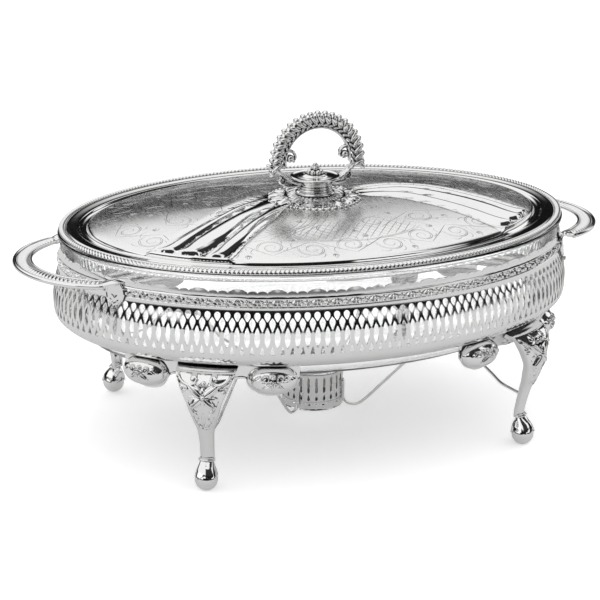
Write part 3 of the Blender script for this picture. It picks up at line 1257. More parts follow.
def apron():
    m = Mesh()
    # local x of the leg's frame to a place along the plate
    c, s = cos(TURN), sin(TURN)
    t = np.linspace(0.75, 1.0, 3001)
    P, N = oval_at(t)
    Q = P - 11.0 * N
    lx = c * (Q[:, 0] - FOOT[0]) + s * (Q[:, 1] + FOOT[1])
    low = [(-62, 79), (-50, 68), (-42, 66.5), (-33, 69), (-28, 77), (-24, 79), (-10, 77), (10, 77), (24, 79), (28, 77), (33, 69), (42, 66.5), (50, 68), (62, 79)]
    lowp = resample(low, n=400)
    n = 260
    xs = np.linspace(-61.5, 61.5, n)
    us = np.interp(xs, lx, t)
    P, N = oval_at(us)
    lo = np.interp(xs, lowp[:, 0], lowp[:, 1])
    lo[0] = lo[-1] = 79
    rows = []
    nz = 14
    for side, off in ((0, -10.4), (1, -11.5)):
        for k in range(nz):
            f = k / (nz - 1)
            z = (89.0 * (1 - f) + lo * f)
            e = 0.0
            bead = 0.45 * np.exp(-(((z - lo) - 0.9) / 0.6) ** 2) if side == 0 else 0 * z
            rows.append((off + bead, z))
    front = np.stack([np.concatenate([P + o[:, None] * N, z[:, None]], 1) for o, z in rows[:nz]], 1)
    back = np.stack([np.concatenate([P + np.broadcast_to(arr(o), (n,))[:, None] * N, z[:, None]], 1) for o, z in rows[nz:]], 1)[:, ::-1]
    G = np.concatenate([front, back], 1)
    g = grid(G, cv=True)
    k = G.shape[1]
    g.f.append(tuple(range(k)))
    g.f.append(tuple(reversed([(n - 1) * k + i for i in range(k)])))
    m.join(g)
    # shell bosses
    for cx, cy in ((78.4, -116.6), (155.5, -69.9)):
        u = oval_param(cx, cy)
        (p0,), (n0,) = oval_at(arr([u / NC]))
        ctr = arr([*(p0 - 10.4 * n0), 88.0])
        nrm = arr([n0[0], n0[1], 0.0])
        tan = arr([-n0[1], n0[0], 0.0])
        nr, na = 34, 84
        R0 = 17.5
        a = np.linspace(rad(-270), rad(90), na)
        rr = np.concatenate([np.linspace(0.02, 1, nr)])
        rows = []
        for f in rr:
            r = R0 * f
            x, z = r * np.cos(a), -9.0 + 0.6 * r * np.sin(a)
            h = 10.3 * np.sqrt(max(1 - f**2.1, 0)) * np.ones_like(x)
            if f > 0.98:
                h = h * 0 + 0.0
            # flutes of the shell open downwards, and the crown stays plain
            d = np.clip((-z - 4.5) / 4.0, 0, 1)
            ang = np.arctan2(-(z + 2.5), x)
            fl = 0.55 * np.abs(np.sin(ang * 4.5 + 0.2)) ** 0.6 * d * (f < 0.97) * math.sin(pi * min(f, 1)) ** 0.4 if f < 1 else 0 * x
            rel = np.zeros_like(x)
            for sx in (-1, 1):
                rel = np.maximum(rel, cordon(x, z, spiral(sx * 5.0, -6.2, 2.3, 0.7, 90 - sx * 60, 90 - sx * 60 + sx * 420, 30), 0.62, 0.75))
                rel = np.maximum(rel, petal(x, z, sx * 1.0, -8.6, sx * 7.4, -13.0, 1.4, 0.7))
                rel = np.maximum(rel, petal(x, z, sx * 8.0, -4.6, sx * 13.6, -8.6, 1.3, 0.6))
            rel = np.maximum(rel, bump_e(x, z, 0, -4.6, 1.7, 1.5, 1.1))
            rel = np.maximum(rel, petal(x, z, 0, -7.2, 0, -14.6, 1.5, 0.8))
            hh = h + fl + 2.2 * rel * min(1, (1 - f) * 8)
            rows.append(ctr[None] + x[:, None] * tan + arr([0, 0, 1])[None] * z[:, None] + hh[:, None] * nrm)
        G = np.stack(rows, 1)
        G[..., 2] = np.minimum(G[..., 2], 89.9)
        b = grid(G)
        m.join(b)
        # plain rolled edge round the boss
        e = np.linspace(rad(-180), 0, 48)
        path = ctr[None] + (R0 + 0.1) * np.cos(e)[:, None] * tan + arr([0, 0, 1])[None] * (-9.0 + 0.6 * (R0 + 0.1) * np.sin(e))[:, None] + 0.4 * nrm
        m.join(tube(path, 0.75, n=8))
        e = np.linspace(rad(-180), 0, 48)
    return m


ap = apron()
for cn, (sx, sy) in CORNERS.items():
    piece("apron_shell_" + cn, ap.mirror(sx, sy), SILVER_CAST, "stand", ("apron_" + cn,), sharp=50)


# ---------------------------------------------------------------- knob
KZ = 169.5


def boss_plate():
    m = Mesh()
    n = 240
    rim = 33.2

    def wob(a, R, Z):
        d = np.clip((R - 12.5) / 1.5, 0, 1) * np.clip((20.5 - R) / 1.5, 0, 1)
        Z = Z + 0.55 * d * np.abs(np.sin(a * 14)) ** 0.7
        e = np.clip((R - 29.6) / 2.0, 0, 1)
        R = R * (1 + 0.018 * e * np.abs(np.sin(a * 20)))
        return R, Z

    prof = smooth_profile([(0.05, 174.9), (8, 174.9), (12.6, 174.7), (13.4, 174.1), (16.5, 173.7), (20.6, 172.9), (21.4, 173.3), (22.4, 173.2), (26, 172.6), (29.4, 171.8), (31.4, 171.3), (32.4, 170.9), (32.8, 170.3)], 4)
    low = [(32.4, 169.9), (28, 169.9), (0.05, 170.9)]
    g = lathe(np.vstack([prof, low]), n, wob=wob)
    m.join(g)
    # beaded edge
    nb = 44
    for i in range(nb):
        a = (i + 0.5) * 2 * pi / nb
        c = abs(cos(a))
        if c > 0.86:
            continue
        m.join(ball((33.0 * cos(a), 33.0 * sin(a), 170.9), (1.35, 1.35, 1.25), 10, 7))
        m.join(ball((30.6 * cos(a + pi / nb), 30.6 * sin(a + pi / nb), 171.9), 0.75, 8, 6))
    # leaf sprays at the two ends
    for sx in (-1, 1):
        for k, (ang, L, w) in enumerate(((0, 12.5, 3.3), (22, 11.5, 3.0), (-22, 11.5, 3.0), (42, 10, 2.6), (-42, 10, 2.6))):
            a = rad(ang)
            r0 = 23.0
            t = np.linspace(0, 1, 13)
            s = np.linspace(-1, 1, 9)
            rows = []
            for q in t:
                ww = w * math.sin(pi * min(max(q, 0.0), 1.0) ** 0.8) ** 0.7
                r = r0 + L * q
                cx, cy = r * cos(a), r * sin(a)
                zz = float(np.interp(r, [20, 26, 30, 33, 36, 40], [172.9, 172.4, 171.9, 171.2, 170.7, 170.5])) + 0.3
                row = []
                for v in s:
                    lob = 1.0 - 0.12 * abs(math.sin(q * 3 * pi))
                    x, y = cx - sin(a) * v * ww * lob, cy + cos(a) * v * ww * lob
                    h = 1.5 * math.sqrt(max(1 - v * v, 0)) - 0.5 * math.exp(-((v / 0.18) ** 2))
                    row.append((sx * x, y, zz + h * (math.sin(pi * q) ** 0.5 if 0 < q < 1 else 0) - 0.25))
                rows.append(row)
            m.join(grid(rows, flip=sx < 0))
        for ang in (-54, -33, -11, 11, 33, 54):
            a = rad(ang)
            m.join(ball((sx * 24.0 * cos(a), 24.0 * sin(a), 173.0), (1.5, 1.5, 1.2), 10, 7))
        for ang in (-32, 32, -11, 11):
            a = rad(ang)
            m.join(ball((sx * 33.6 * cos(a), 33.6 * sin(a), 171.4), (1.3, 1.3, 1.1), 10, 7))
    return m


piece("knob_boss_leafed", boss_plate(), SILVER_CAST, "lid", ("knob_boss_plate",), sharp=50)


def pedestal():
    prof = [(0.05, 174.6), (14.2, 174.6), (14.6, 175.1), (14.5, 175.7), (13.9, 176.3), (12.8, 176.7), (12.5, 177.0), (12.8, 177.4), (13.0, 177.9), (12.7, 178.4), (12.0, 178.8), (11.8, 179.0),
            (12.2, 179.3), (12.3, 179.8), (11.9, 180.2), (11.3, 180.5), (11.5, 180.9), (11.9, 181.3), (11.7, 181.8), (11.2, 182.1), (11.1, 182.8), (11.4, 183.7), (12.4, 184.5), (14.2, 185.1), (16.6, 185.6), (17.9, 186.0),
            (18.4, 186.5), (18.4, 187.0), (17.9, 187.5), (17.1, 187.6), (16.2, 187.2), (14.5, 187.0), (12.0, 187.2), (9.0, 187.6), (7.6, 188.4), (6.0, 188.7), (0.05, 188.8)]
    m = lathe(resample(prof, n=130), 96)
    for sx in (-1, 1):
        # leaf strap that carries the wreath
        p = resample([(9.0, 0, 182.2), (14, 0, 182.4), (19.5, 0, 184.4), (25, 0, 188.6), (30, 0, 193.0), (34.6, 0, 196.2), (38.2, 0, 197.2)], n=44)
        t, s, u = frames(p, (0, 1, 0))
        w = np.interp(np.linspace(0, 1, 44), [0, 0.15, 0.5, 0.8, 0.95, 1], [3.2, 3.8, 4.4, 4.6, 3.2, 0.9])
        v = np.linspace(-1, 1, 17)
        q = np.linspace(0, 1, 44)
        crest = 1.0 * np.abs(np.cos(v * pi * 1.5)) ** 0.8  # two ridges and a mid rib
        nick = 1 - 0.13 * np.abs(np.sin(q * 9 * pi)) ** 0.5
        nrm = np.cross(t, arr([0, 1, 0]))
        nrm = np.where(nrm[:, 2:3] < 0, -nrm, nrm)
        up = p[:, None] + (w * nick)[:, None, None] * v[None, :, None] * arr([0, 1, 0]) + (0.7 + crest * 0.9)[None, :, None] * nrm[:, None]
        dn = p[:, None] + (w * nick)[:, None, None] * v[None, ::-1, None] * arr([0, 1, 0]) - (0.9 * np.sqrt(1 - 0.9 * v**2))[None, :, None] * nrm[:, None]
        g = grid(np.concatenate([up, dn], 1), cv=True)
        k = 34
        g.f.append(tuple(range(k)))
        g.f.append(tuple(reversed([43 * k + i for i in range(k)])))
        m.join(g if sx > 0 else g.mirror(-1, 1))
        # volutes below and inside
        for (cx, cz, r0, wid) in ((25.4, 185.6, 3.0, 2.6),):
            sp = spiral(cx, cz, r0, 0.5, 60, 60 - 560, 44)
            path = [(a, 0, b) for a, b in sp]
            g = tube(path, np.linspace(0.95, 0.6, 44), n=9, up=(0, 1, 0))
            g = g.map(lambda V, wid=wid: V * arr([1, wid, 1]))
            m.join(g if sx > 0 else g.mirror(-1, 1))
        g = tube(resample([(12.5, 0, 181.6), (17, 0, 180.9), (21.5, 0, 181.2), (25.2, 0, 183.2)], n=14), np.linspace(1.6, 1.1, 14), n=9)
        g = g.map(lambda V: V * arr([1, 1.9, 1]))
        m.join(g if sx > 0 else g.mirror(-1, 1))
    return m


piece("knob_turned_pedestal", pedestal(), SILVER_CAST, "lid", ("knob_pedestal",), sharp=50)


def wreath():
    m = Mesh()
    cx, cz = 1.5, 198.0
    N = 21
    k = 11
    a = np.linspace(rad(-9), rad(189), N * k + 1)
    s = np.linspace(0, N, N * k + 1)
    ph = np.arange(20) * 2 * pi / 20
    Rm = 31.8
    rows = []
    for f in ph:
        lobe = np.abs(np.sin(pi * (s + 0.62 * math.sin(f) * 0.9 - 0.25 * math.cos(f)))) ** 0.6
        r = 4.3 * (0.66 + 0.34 * lobe)
        fade = np.minimum(1, np.minimum(s, N - s) / 1.6 + 0.55)
        r = r * fade
        Rr = Rm + r * math.cos(f)
        y = 0.95 * r * math.sin(f)
        rows.append(np.stack([cx + Rr * np.cos(a), y, cz + Rr * np.sin(a)], -1))
    G = np.stack(rows, 1)
    g = grid(G, cv=True)
    kk = 20
    g.f.append(tuple(range(kk)))
    g.f.append(tuple(reversed([(N * k) * kk + i for i in range(kk)])))
    m.join(g)
    # outer beads, one to each lobe, and slanting leaf ribs between
    for i in range(N):
        q = a[0] + (a[-1] - a[0]) * (i + 0.5) / N
        er, et = arr([cos(q), 0, sin(q)]), arr([-sin(q), 0, cos(q)])
        R = 35.3
        c = arr([cx, 0, cz]) + R * er
        m.join(ball(c, (2.5, 3.0, 2.25), 16, 10, [er, arr([0, 1, 0]), et]))
        for sy in (-1, 1):
            # comma that slants in from each bead
            d = unit(0.86 * er + 0.50 * et)
            e = np.cross(d, arr([0, 1, 0]))
            c = arr([cx, 0, cz]) + 31.9 * er - 0.9 * et + arr([0, sy * 3.2, 0])
            m.join(ball(c, (4.4, 2.0, 1.75), 16, 10, [d, arr([0, 1, 0]), e]))
            d2 = unit(0.50 * er - 0.86 * et)
            e2 = np.cross(d2, arr([0, 1, 0]))
            c = arr([cx, 0, cz]) + 27.7 * er - 0.6 * et + arr([0, sy * 2.6, 0])
            m.join(ball(c, (2.2, 1.5, 1.05), 12, 8, [d2, arr([0, 1, 0]), e2]))
    # plain inner rim
    b = np.linspace(rad(-4), rad(184), 120)
    path = np.stack([cx + 25.4 * np.cos(b), 0 * b, cz + 25.4 * np.sin(b)], -1)
    m.join(tube(path, 1.15, n=10, up=(0, 1, 0)).map(lambda V: V * arr([1, 2.3, 1])))
    # ball scrolls inside the ends
    for sx in (-1, 1):
        c = arr([cx + sx * 21.4, 0, 201.6])
        m.join(ball(c, (3.1, 3.4, 3.1), 20, 12))
        m.join(ball(c + arr([-sx * 1.9, -2.6, -1.5]), 1.3, 10, 7))
        m.join(ball(c + arr([-sx * 1.9, 2.6, -1.5]), 1.3, 10, 7))
        sp = spiral(21.4, 201.6, 3.5, 6.8, 200, 40, 20)
        path = [(cx + sx * p, 0, q) for p, q in sp]
        m.join(tube(path, np.linspace(0.9, 1.5, 20), n=9, up=(0, 1, 0)).map(lambda V: V * arr([1, 1.9, 1])))
        # leaf that closes the rope's end
        for dy in (-2.2, 2.2):
            d = unit(arr([sx * 0.45, 0, -0.9]))
            e = np.cross(d, arr([0, 1, 0]))
            m.join(ball((cx + sx * 34.6, dy, 193.6), (4.2, 2.0, 2.0), 14, 9, [d, arr([0, 1, 0]), e]))
        m.join(ball((cx + sx * 35.9, 0, 190.6), (1.6, 2.0, 1.6), 12, 8))
    return m


piece("knob_wreath_rope", wreath(), SILVER_ROPE, "lid", ("knob_wreath",), sharp=60)


def finial():
    m = lathe(resample([(0.05, 186.9), (6.6, 187.2), (6.9, 187.9), (6.3, 188.5), (4.2, 188.9), (3.0, 190.4), (0.05, 192.0)], n=26), 48)
    for i in range(7):
        a = i * 2 * pi / 7 + 0.35
        m.join(ball((4.3 * cos(a), 4.3 * sin(a), 190.0), 2.15, 14, 10))
    for i in range(3):
        a = i * 2 * pi / 3 + 0.1
        m.join(ball((1.7 * cos(a), 1.7 * sin(a), 192.9), 1.85, 14, 10))
    m.join(ball((0, 0, 195.1), 2.05, 16, 11))
    return m


piece("knob_bead_cluster", finial(), SILVER_CAST, "lid", ("knob_bead_finial",), sharp=60)


# ---------------------------------------------------------------- handles
def handle():
    m = Mesh()
    cx = 155.0
    nr = 46
    k = 8
    n = nr * k + 1
    span = rad(67)
    a = np.linspace(-span, span, n)
    s = np.linspace(0, nr, n)
    prof = []  # (radius, height, how much of the gadroon it carries)
    for f in np.linspace(0, 1, 6):
        t = pi * (1.15 - 1.3 * f)
        prof.append((57.3 + 1.0 * math.cos(t), 141.2 + 1.0 * math.sin(t), 0))
    for f in np.linspace(0.02, 0.98, 12):
        prof.append((58.5 + 8.6 * f, 141.0 + 1.1 * math.sin(pi * f) ** 0.8, math.sin(pi * f) ** 0.5))
    for f in np.linspace(0, 1, 9):
        t = pi * (0.95 - 1.35 * f)
        prof.append((68.7 + 1.85 * math.cos(t), 140.2 + 1.85 * math.sin(t), 0))
    prof += [(66.8, 138.9, 0), (62.5, 138.5, 0), (58.6, 139.2, 0), (56.9, 139.8, 0)]
    narrow = np.interp(np.abs(a), [0, rad(50), span], [1.0, 1.0, 0.86])
    lift = 0.0
    rows = []
    for r, z, g in prof:
        rib = np.abs(np.sin(pi * (s + 0.5 * (r - 58.5) / 8.6))) ** 0.7
        R = 63.5 + (r - 63.5) * narrow
        zz = z + g * (1.45 * rib - 0.75)
        rows.append(np.stack([cx + R * np.cos(a), R * np.sin(a), zz], -1))
    G = np.stack(rows, 1)
    g = grid(G, cv=True)
    c = len(prof)
    g.f.append(tuple(range(c)))
    g.f.append(tuple(reversed([(n - 1) * c + i for i in range(c)])))
    m.join(g)
    # neck that rises, curls over and ends in a leaf on the gallery
    for sy in (-1, 1):
        u = oval_param_at(175.2, 63.0)
        (p0,), (n0,) = oval_at(arr([u / NC]))
        nn = arr([n0[0], n0[1], 0])
        tt = arr([-n0[1], n0[0], 0])  # towards +y side
        e = span - rad(1.2)
        q0 = arr([cx + 63.3 * cos(e), 63.3 * sin(e), 140.2])
        d0 = unit(arr([-sin(e), cos(e), 0]))
        wall = lambda z, o=1.1: arr([*(p0 + (float(wall_offset(z)) + o) * n0), z])
        path = [q0 - 2.0 * d0, q0 + 1.5 * d0 + arr([0, 0, 0.3]), 0.6 * (q0 + 4.0 * d0) + 0.4 * wall(142.6, 4.0) + arr([0, 0, 0.9]), wall(142.8, 3.6), wall(141.8, 2.2), wall(140.0, 1.4), wall(137.6, 1.2), wall(134.0, 1.15), wall(130.4, 1.15), wall(127.6, 1.1), wall(126.0, 1.0)]
        p = resample(path, n=60)
        f = np.linspace(0, 1, 60)
        w = np.interp(f, [0, 0.12, 0.30, 0.42, 0.55, 0.70, 0.84, 0.94, 1.0], [5.6, 4.8, 3.9, 4.4, 6.6, 7.6, 6.6, 3.8, 0.6])
        th = np.interp(f, [0, 0.3, 0.5, 0.9, 1], [1.8, 1.5, 1.0, 0.7, 0.3])
        t = unit(np.gradient(p, axis=0))
        side = unit(np.cross(t, nn * 0.8 + arr([0, 0, 0.6])))
        side = unit(np.where(f[:, None] < 0.2, unit(np.cross(t, arr([0, 0, 1.0]))), side))
        blend = step(f, 0.1, 0.45)[:, None]
        s0 = unit(np.cross(t, arr([0, 0, 1.0]) + 0 * t))
        s1 = np.where((s0 @ tt)[:, None] < 0, -1, 1) * s0
        side = unit((1 - blend) * s1 * np.sign((s1[0] @ tt)) + blend * tt)
        nrm = unit(np.cross(side, t))
        nrm = np.where(((nrm @ nn) + nrm[:, 2])[:, None] < 0, -nrm, nrm)
        v = np.linspace(-1, 1, 19)
        leaf = step(f, 0.45, 0.7)[:, None]
        ridge = 0.7 * np.exp(-((v[None] / 0.14) ** 2)) * leaf + 0.45 * leaf * np.abs(np.sin((v[None] ** 2 * 2.2 + f[:, None] * 5.5) * pi)) ** 0.8 * (1 - v[None] ** 2)
        dome = np.sqrt(np.maximum(1 - v**2, 0))[None] * (0.4 + 0.6 * (1 - leaf)) + 0.3
        top = p[:, None] + w[:, None, None] * v[None, :, None] * side[:, None] + (th[:, None] * dome + ridge * 0.8)[..., None] * nrm[:, None]
        bot = p[:, None] + w[:, None, None] * v[None, ::-1, None] * side[:, None] - (th * 0.6)[:, None, None] * nrm[:, None]
        g = grid(np.concatenate([top, bot], 1), cv=True)
        k2 = 38
        g.f.append(tuple(range(k2)))
        g.f.append(tuple(reversed([59 * k2 + i for i in range(k2)])))
        # rolled edge along the leaf
        for sg in (0, 18):
            edge = top[:, sg]
            g.join(tube(edge[:56], np.interp(f[:56], [0, 0.3, 0.8, 1], [0.9, 0.8, 0.6, 0.4]), n=7))
        m.join(g if sy > 0 else g.mirror(1, -1))
    return m


def oval_param_at(x, y):
    t = np.linspace(0, 1, 6001)
    P, N = oval_at(t)
    d = np.hypot(P[:, 0] + 2 * N[:, 0] - x, P[:, 1] + 2 * N[:, 1] - y)
    return t[int(np.argmin(d))] * NC


hm = handle()
piece("handle_gadroon_right", hm, SILVER_RELIEF, "stand", ("handle_right",), sharp=50)
piece("handle_gadroon_left", hm.mirror(-1, 1), SILVER_RELIEF, "stand", ("handle_left",), sharp=50)


def rivets():
    """Low rivet heads on the leaves, with their shanks through the frame."""
    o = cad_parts["handle_rivets"]
    V = arr([(o.matrix_world @ v.co)[:] for v in o.data.vertices]) * 1000
    m = Mesh()
    for sx in (-1, 1):
        for sy in (-1, 1):
            q = V[(V[:, 0] * sx > 0) & (V[:, 1] * sy > 0)]
            c = (q.min(0) + q.max(0)) / 2
            t = np.linspace(0, 1, 6001)
            P, N = oval_at(t)
            i = int(np.argmin(np.hypot(P[:, 0] - c[0], P[:, 1] - c[1])))
            n = arr([*N[i], 0.0])
            w = arr([*P[i], 0.0]) + float(wall_offset(c[2])) * n
            w[2] = c[2]
            d = unit(np.cross(n, arr([0, 0, 1.0])))
            prof = [(0, -2.6), (1.7, -2.4), (1.9, -1.6), (1.5, -1.3), (1.3, -1.2), (1.3, 1.6), (1.9, 1.7), (1.8, 2.2), (1.2, 2.6), (0, 2.75)]
            g = lathe([(max(r, 0.02), z) for r, z in prof], 28)
            m.join(g.map(lambda A, w=w, n=n, d=d: w + A[:, :1] * d + A[:, 1:2] * arr([0, 0, 1.0]) + A[:, 2:] * n))
    return m


piece("handle_rivet_heads", rivets(), STEEL, "stand", ("handle_rivets",), sharp=50)


# ---------------------------------------------------------------- warmer
def cup():
    m = Mesh()
    R = 22.5
    n = 24
    P = 2 * pi * R / n
    zb = 13.2

    def place(u, z, inset):
        a = arr(u) * 2 * pi / n
        r = R + 0.0 * a - inset
        bead = 0.45 * np.exp(-(((z - 41.2) / 0.8) ** 2)) if inset == 0 else 0
        r = r + bead
        return np.stack([r * np.cos(a), r * np.sin(a), z + 0 * a], -1)

    global PITCH
    keep, PITCH = PITCH, P
    slot = [(-0.95, 27.4), (-0.55, 26.6), (0, 26.3), (0.55, 26.6), (0.95, 27.4), (0.98, 31), (0.95, 36.5), (0.6, 37.8), (0, 38.4), (-0.6, 37.8), (-0.95, 36.5), (-0.98, 31)]
    dropl = loop_drop(0, 0, 0, 1) if False else [(0, 25.3), (0.35, 24.4), (0.85, 23.0), (1.05, 21.9), (0.85, 21.0), (0.4, 20.55), (0, 20.45), (-0.4, 20.55), (-0.85, 21.0), (-1.05, 21.9), (-0.85, 23.0), (-0.35, 24.4)]
    V, F, W = cell([slot, dropl], [], 19.4, 40.2, 6)
    m.join(band(V, F, W, place, n, 0.8))
    PITCH = keep
    k = 6 * n * 2
    a = (np.arange(k) / 12 - 0.5) * 2 * pi / n
    top = [(R, 40.2), (R + 0.1, 40.5), (R + 0.75, 40.9), (R + 0.95, 41.5), (R + 0.6, 42.0), (R, 42.1), (R - 0.6, 41.8), (R - 0.8, 41.0), (R - 0.8, 40.2)]
    G = np.stack([np.stack([r * np.cos(a), r * np.sin(a), z + 0 * a], -1) for r, z in top], 1)
    m.join(grid(G, cu=True))
    zs = np.linspace(19.4, 12.7, 15)
    rows = []
    um = np.mod(a * R, 2 * P)
    for z in zs:
        h = 0 * a
        if 13.4 < z < 19.0:
            for c in (0, 2 * P):
                h = np.maximum(h, bump_e(um, z + 0 * a, c, 16.2, 1.9, 1.7, 0.55))
            h = np.maximum(h, bump_e(um, z + 0 * a, P, 16.2, 1.0, 2.3, 0.45))
            h = np.maximum(h, bump_e(um, z + 0 * a, P * 0.55, 17.6, 0.8, 0.6, 0.35))
            h = np.maximum(h, bump_e(um, z + 0 * a, P * 1.45, 17.6, 0.8, 0.6, 0.35))
        r = R + h + 0.35 * math.exp(-(((z - 13.2) / 0.5) ** 2)) + 0.25 * math.exp(-(((z - 19.2) / 0.35) ** 2))
        rows.append(np.stack([r * np.cos(a), r * np.sin(a), z + 0 * a], -1))
    for r, z in ((R - 0.3, 12.6), (R - 0.8, 12.6), (R - 0.8, 14), (R - 0.8, 19.4)):
        rows.append(np.stack([r * np.cos(a), r * np.sin(a), z + 0 * a], -1))
    m.join(grid(np.stack(rows, 1), cu=True, flip=True))
    return m


piece("candle_cup_pierced", cup(), SILVER_RELIEF, "stand", ("candle_cup",), sharp=45, merge=0.004)
piece("candle_cup_base", lathe(resample([(0.05, 13.6), (8, 13.6), (9, 13.2), (15, 13.2), (16, 13.6), (21.4, 13.6), (21.6, 13.3), (21.6, 12.7), (21.2, 12.6), (0.05, 12.6)], n=60), 96), SILVER, "stand", ("candle_cup_floor",), sharp=50)

wire_line = [(24.0, 33), (24.0, 26), (24.0, 20.5), (24.6, 17.0), (27.5, 14.7), (31, 14.1), (35.0, 14.8), (40, 18.3), (55, 34.4), (70, 50.5), (84, 65.0), (88.5, 68.4), (93, 69.5), (103, 69.6), (113, 69.5), (117, 68.6), (121, 65.9), (130, 57.7), (138, 50.5), (144, 45.0), (151, 41.6), (159.0, 38.3)]


def wire(sx, sy):
    a = math.atan2(FOOT[1], FOOT[0])
    p = resample([(r * cos(a), -r * sin(a), z) for r, z in wire_line], n=150)
    m = tube(p, 1.1, n=12, up=(sin(a), cos(a), 0))
    # small flattened solder pads on the cup and on the leg
    m.join(ball(p[0] + arr([0, 0, -3.0]), (0.9, 1.9, 4.2), 14, 9, [arr([cos(a), -sin(a), 0]), arr([sin(a), cos(a), 0]), arr([0, 0, 1])]))
    return m.mirror(sx, sy)


for cn, (sx, sy) in CORNERS.items():
    piece("wire_strut_" + cn, wire(sx, sy), SILVER_WIRE, "stand", ("warmer_wire_" + cn,), sharp=60)


def case():
    def wob(a, R, Z):
        k = ((R > 18.2) & (Z > 14.6) & (Z < 28.8)).astype(float)
        return R - 0.22 * k * np.abs(np.sin(a * 30)), Z

    prof = [(0.05, 13.8), (12, 13.8), (12.6, 14.1), (17.2, 14.1), (17.8, 13.8), (18.5, 13.9), (18.9, 14.4), (18.9, 15.2), (18.95, 20), (18.95, 25), (18.95, 28.4), (18.9, 29.0), (19.0, 29.4), (18.9, 29.8), (18.6, 29.75), (18.5, 29.3), (18.45, 28.5), (18.4, 20), (18.4, 14.8), (17, 14.5), (0.05, 14.5)]
    return lathe(resample(prof, n=110), 360, wob=wob)


piece("tealight_cup_fluted", case(), ALU, "tealight", ("tealight_case",), sharp=60)
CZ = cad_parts
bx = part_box("tealight_wax")
wz0, wz1 = bx[0][2] * 1000, bx[1][2] * 1000
wr = (bx[1][0] - bx[0][0]) * 500
piece("tealight_wax_cake", lathe(resample([(0.05, wz1 - 0.9), (1.4, wz1 - 0.95), (3.2, wz1 - 1.25), (7, wz1 - 1.1), (12, wz1 - 0.7), (16, wz1 - 0.5), (wr - 0.9, wz1 - 0.3), (wr - 0.1, wz1), (wr, wz1 - 0.3), (wr, wz0 + 0.5), (wr - 0.6, wz0), (0.05, wz0)], n=70), 120), WAX, "tealight", ("tealight_wax",), sharp=60)


def wick_mesh():
    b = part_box("tealight_wick")
    z0, z1 = b[0][2] * 1000, b[1][2] * 1000
    p = resample([(0, 0, z0), (0, 0, z0 + 6), (0.05, 0, z0 + 12), (0.25, 0.1, z1 - 2.5), (0.8, 0.3, z1 - 0.4)], n=60)
    m = Mesh()
    for k in range(3):
        a = np.linspace(0, 9 * 2 * pi, 60) + k * 2 * pi / 3
        q = p + 0.34 * np.stack([np.cos(a), np.sin(a), 0 * a], 1)
        m.join(tube(resample(q, n=220), 0.42, n=7))
    return m


piece("tealight_wick_braid", wick_mesh(), WICK, "tealight", ("tealight_wick",), sharp=180)


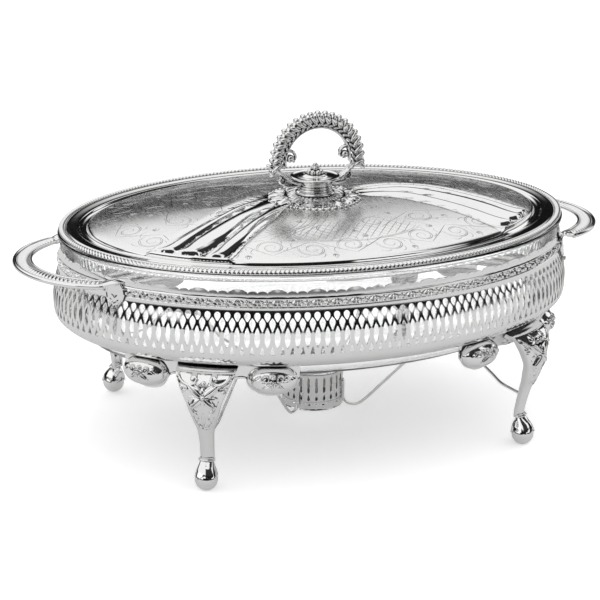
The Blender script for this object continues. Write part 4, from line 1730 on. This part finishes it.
# ---------------------------------------------------------------- studio
def studio():
    sc = bpy.context.scene
    sc.view_settings.view_transform = "Standard"
    sc.view_settings.look = "None"
    a, e, d, roll = rad(-22.733), rad(17.27), 1.6379, rad(0.717)
    back = Vector((sin(a) * cos(e), -cos(a) * cos(e), sin(e)))
    right = Vector((cos(a), sin(a), 0))
    up = back.cross(right)
    r2 = cos(roll) * right + sin(roll) * up
    u2 = -sin(roll) * right + cos(roll) * up
    loc = Vector((0, 0, 0.107)) + back * d
    cam = bpy.data.cameras.new("camera")
    cam.sensor_width, cam.lens = 36.0, 132.93
    cam.shift_x, cam.shift_y = -0.02296, -0.03225
    cam.clip_start, cam.clip_end = 0.05, 100
    co = bpy.data.objects.new("camera", cam)
    co.matrix_world = Matrix(((r2.x, u2.x, back.x, loc.x), (r2.y, u2.y, back.y, loc.y), (r2.z, u2.z, back.z, loc.z), (0, 0, 0, 1)))
    sc.collection.objects.link(co)
    sc.camera = co

    # floor
    me = bpy.data.meshes.new("floor")
    me.from_pydata([(-9, -9, 0), (9, -9, 0), (9, 9, 0), (-9, 9, 0)], [], [(0, 1, 2, 3)])
    fm, nt, b = new_mat("floor_paper")
    n = node(nt, "ShaderNodeTexNoise", Scale=6.0, Detail=3.0)
    nt.links.new(coords(nt), n.inputs["Vector"])
    # paper looks white to the eye and a little greyer in the silver
    lp = node(nt, "ShaderNodeLightPath")
    mx = node(nt, "ShaderNodeMix", data_type="RGBA")
    inv = node(nt, "ShaderNodeMath", operation="SUBTRACT")
    inv.inputs[0].default_value = 1.0
    nt.links.new(lp.outputs["Is Transmission Ray"], inv.inputs[1])
    gl = node(nt, "ShaderNodeMath", operation="MULTIPLY")
    nt.links.new(lp.outputs["Is Glossy Ray"], gl.inputs[0])
    nt.links.new(inv.outputs[0], gl.inputs[1])
    nt.links.new(gl.outputs[0], mx.inputs["Factor"])
    glow = node(nt, "ShaderNodeMapRange")
    glow.inputs["To Min"].default_value = 0.34
    glow.inputs["To Max"].default_value = 0.24
    nt.links.new(gl.outputs[0], glow.inputs[0])
    nt.links.new(glow.outputs[0], b.inputs["Emission Strength"])
    b.inputs["Emission Color"].default_value = (1, 1, 1, 1)
    nt.links.new(ramp(nt, n.outputs["Fac"], [(0.3, (0.93, 0.93, 0.93)), (0.7, (0.95, 0.95, 0.95))]), mx.inputs["A"])
    mx.inputs["B"].default_value = (FLOOR_REFL, FLOOR_REFL, FLOOR_REFL, 1)
    nt.links.new(mx.outputs["Result"], b.inputs["Base Color"])
    b.inputs["Roughness"].default_value = 0.8
    b.inputs["Specular IOR Level"].default_value = 0.1
    me.materials.append(fm)
    fl = bpy.data.objects.new("floor", me)
    sc.collection.objects.link(fl)

    # white studio with darker walls between the softboxes
    w = bpy.data.worlds.new("studio")
    sc.world = w
    w.use_nodes = True
    nt = w.node_tree
    nt.nodes.clear()
    L = nt.links.new
    out = node(nt, "ShaderNodeOutputWorld")
    bg = node(nt, "ShaderNodeBackground")
    L(bg.outputs[0], out.inputs["Surface"])
    tc = node(nt, "ShaderNodeTexCoord")
    sep = node(nt, "ShaderNodeSeparateXYZ")
    L(tc.outputs["Generated"], sep.inputs[0])
    x, y, z = sep.outputs

    def mth(op, p, q=0.0, r=None, clamp=False):
        n = node(nt, "ShaderNodeMath", operation=op)
        n.use_clamp = clamp
        for i, v in enumerate((p, q) if r is None else (p, q, r)):
            if isinstance(v, (int, float)):
                n.inputs[i].default_value = v
            else:
                L(v, n.inputs[i])
        return n.outputs[0]

    def sstep(v, a, b):
        m = node(nt, "ShaderNodeMapRange", interpolation_type="SMOOTHSTEP")
        m.inputs["From Min"].default_value = a
        m.inputs["From Max"].default_value = b
        L(v, m.inputs[0])
        return m.outputs[0]

    az = mth("ARCTAN2", x, y)  # 0 behind the object, +-pi in front
    el = mth("ARCSINE", z)

    def box(a0, a1, e0, e1, s=0.03, az=az):
        p = mth("MULTIPLY", sstep(az, a0 - s, a0 + s), mth("SUBTRACT", 1.0, sstep(az, a1 - s, a1 + s)))
        q = mth("MULTIPLY", sstep(el, e0 - s, e0 + s), mth("SUBTRACT", 1.0, sstep(el, e1 - s, e1 + s)))
        return mth("MULTIPLY", p, q)

    top = sstep(el, rad(17), rad(25))
    low = mth("SUBTRACT", 1.0, sstep(el, rad(-4), rad(1)))
    val = mth("ADD", mth("MULTIPLY", top, 0.95), mth("MULTIPLY", low, 0.55))
    fz = mth("ARCTAN2", x, mth("MULTIPLY", y, -1.0))  # 0 on the camera side
    for a0, a1, e0, e1 in DARK:
        val = mth("MULTIPLY", val, mth("SUBTRACT", 1.0, mth("MULTIPLY", box(rad(a0), rad(a1), rad(e0), rad(e1), 0.05, fz), 0.97)))
    for a0, a1, e0, e1, k in BOXES:
        val = mth("MAXIMUM", val, mth("MULTIPLY", box(rad(a0), rad(a1), rad(e0), rad(e1)), k))
    val = mth("MAXIMUM", val, 0.006)
    lp = node(nt, "ShaderNodeLightPath")
    glossy = mth("MULTIPLY", lp.outputs["Is Glossy Ray"], mth("SUBTRACT", 1.0, lp.outputs["Is Transmission Ray"]))
    mx = node(nt, "ShaderNodeMix", data_type="FLOAT")
    L(glossy, mx.inputs["Factor"])
    mx.inputs["A"].default_value = 1.12
    L(val, mx.inputs["B"])
    L(mx.outputs["Result"], bg.inputs["Strength"])
    bg.inputs["Color"].default_value = (1, 1, 1, 1)


FLOOR_REFL = 0.40
DARK = [(-30, 46, 10, 60), (64, 130, 10, 56)]
BOXES = [(118, 166, 8, 15, 1.05), (60, 82, 4, 30, 1.0), (-125, -72, 8, 30, 1.1)]
# hardware and inner fittings kept as drawn
KEPT = {"leg_screws": STEEL, "knob_washer": STEEL, "knob_screw": STEEL, "wick_sustainer": TINNED}
for _n, _m in KEPT.items():
    _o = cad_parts[_n]
    _o.data.materials.clear()
    _o.data.materials.append(_m)
studio()
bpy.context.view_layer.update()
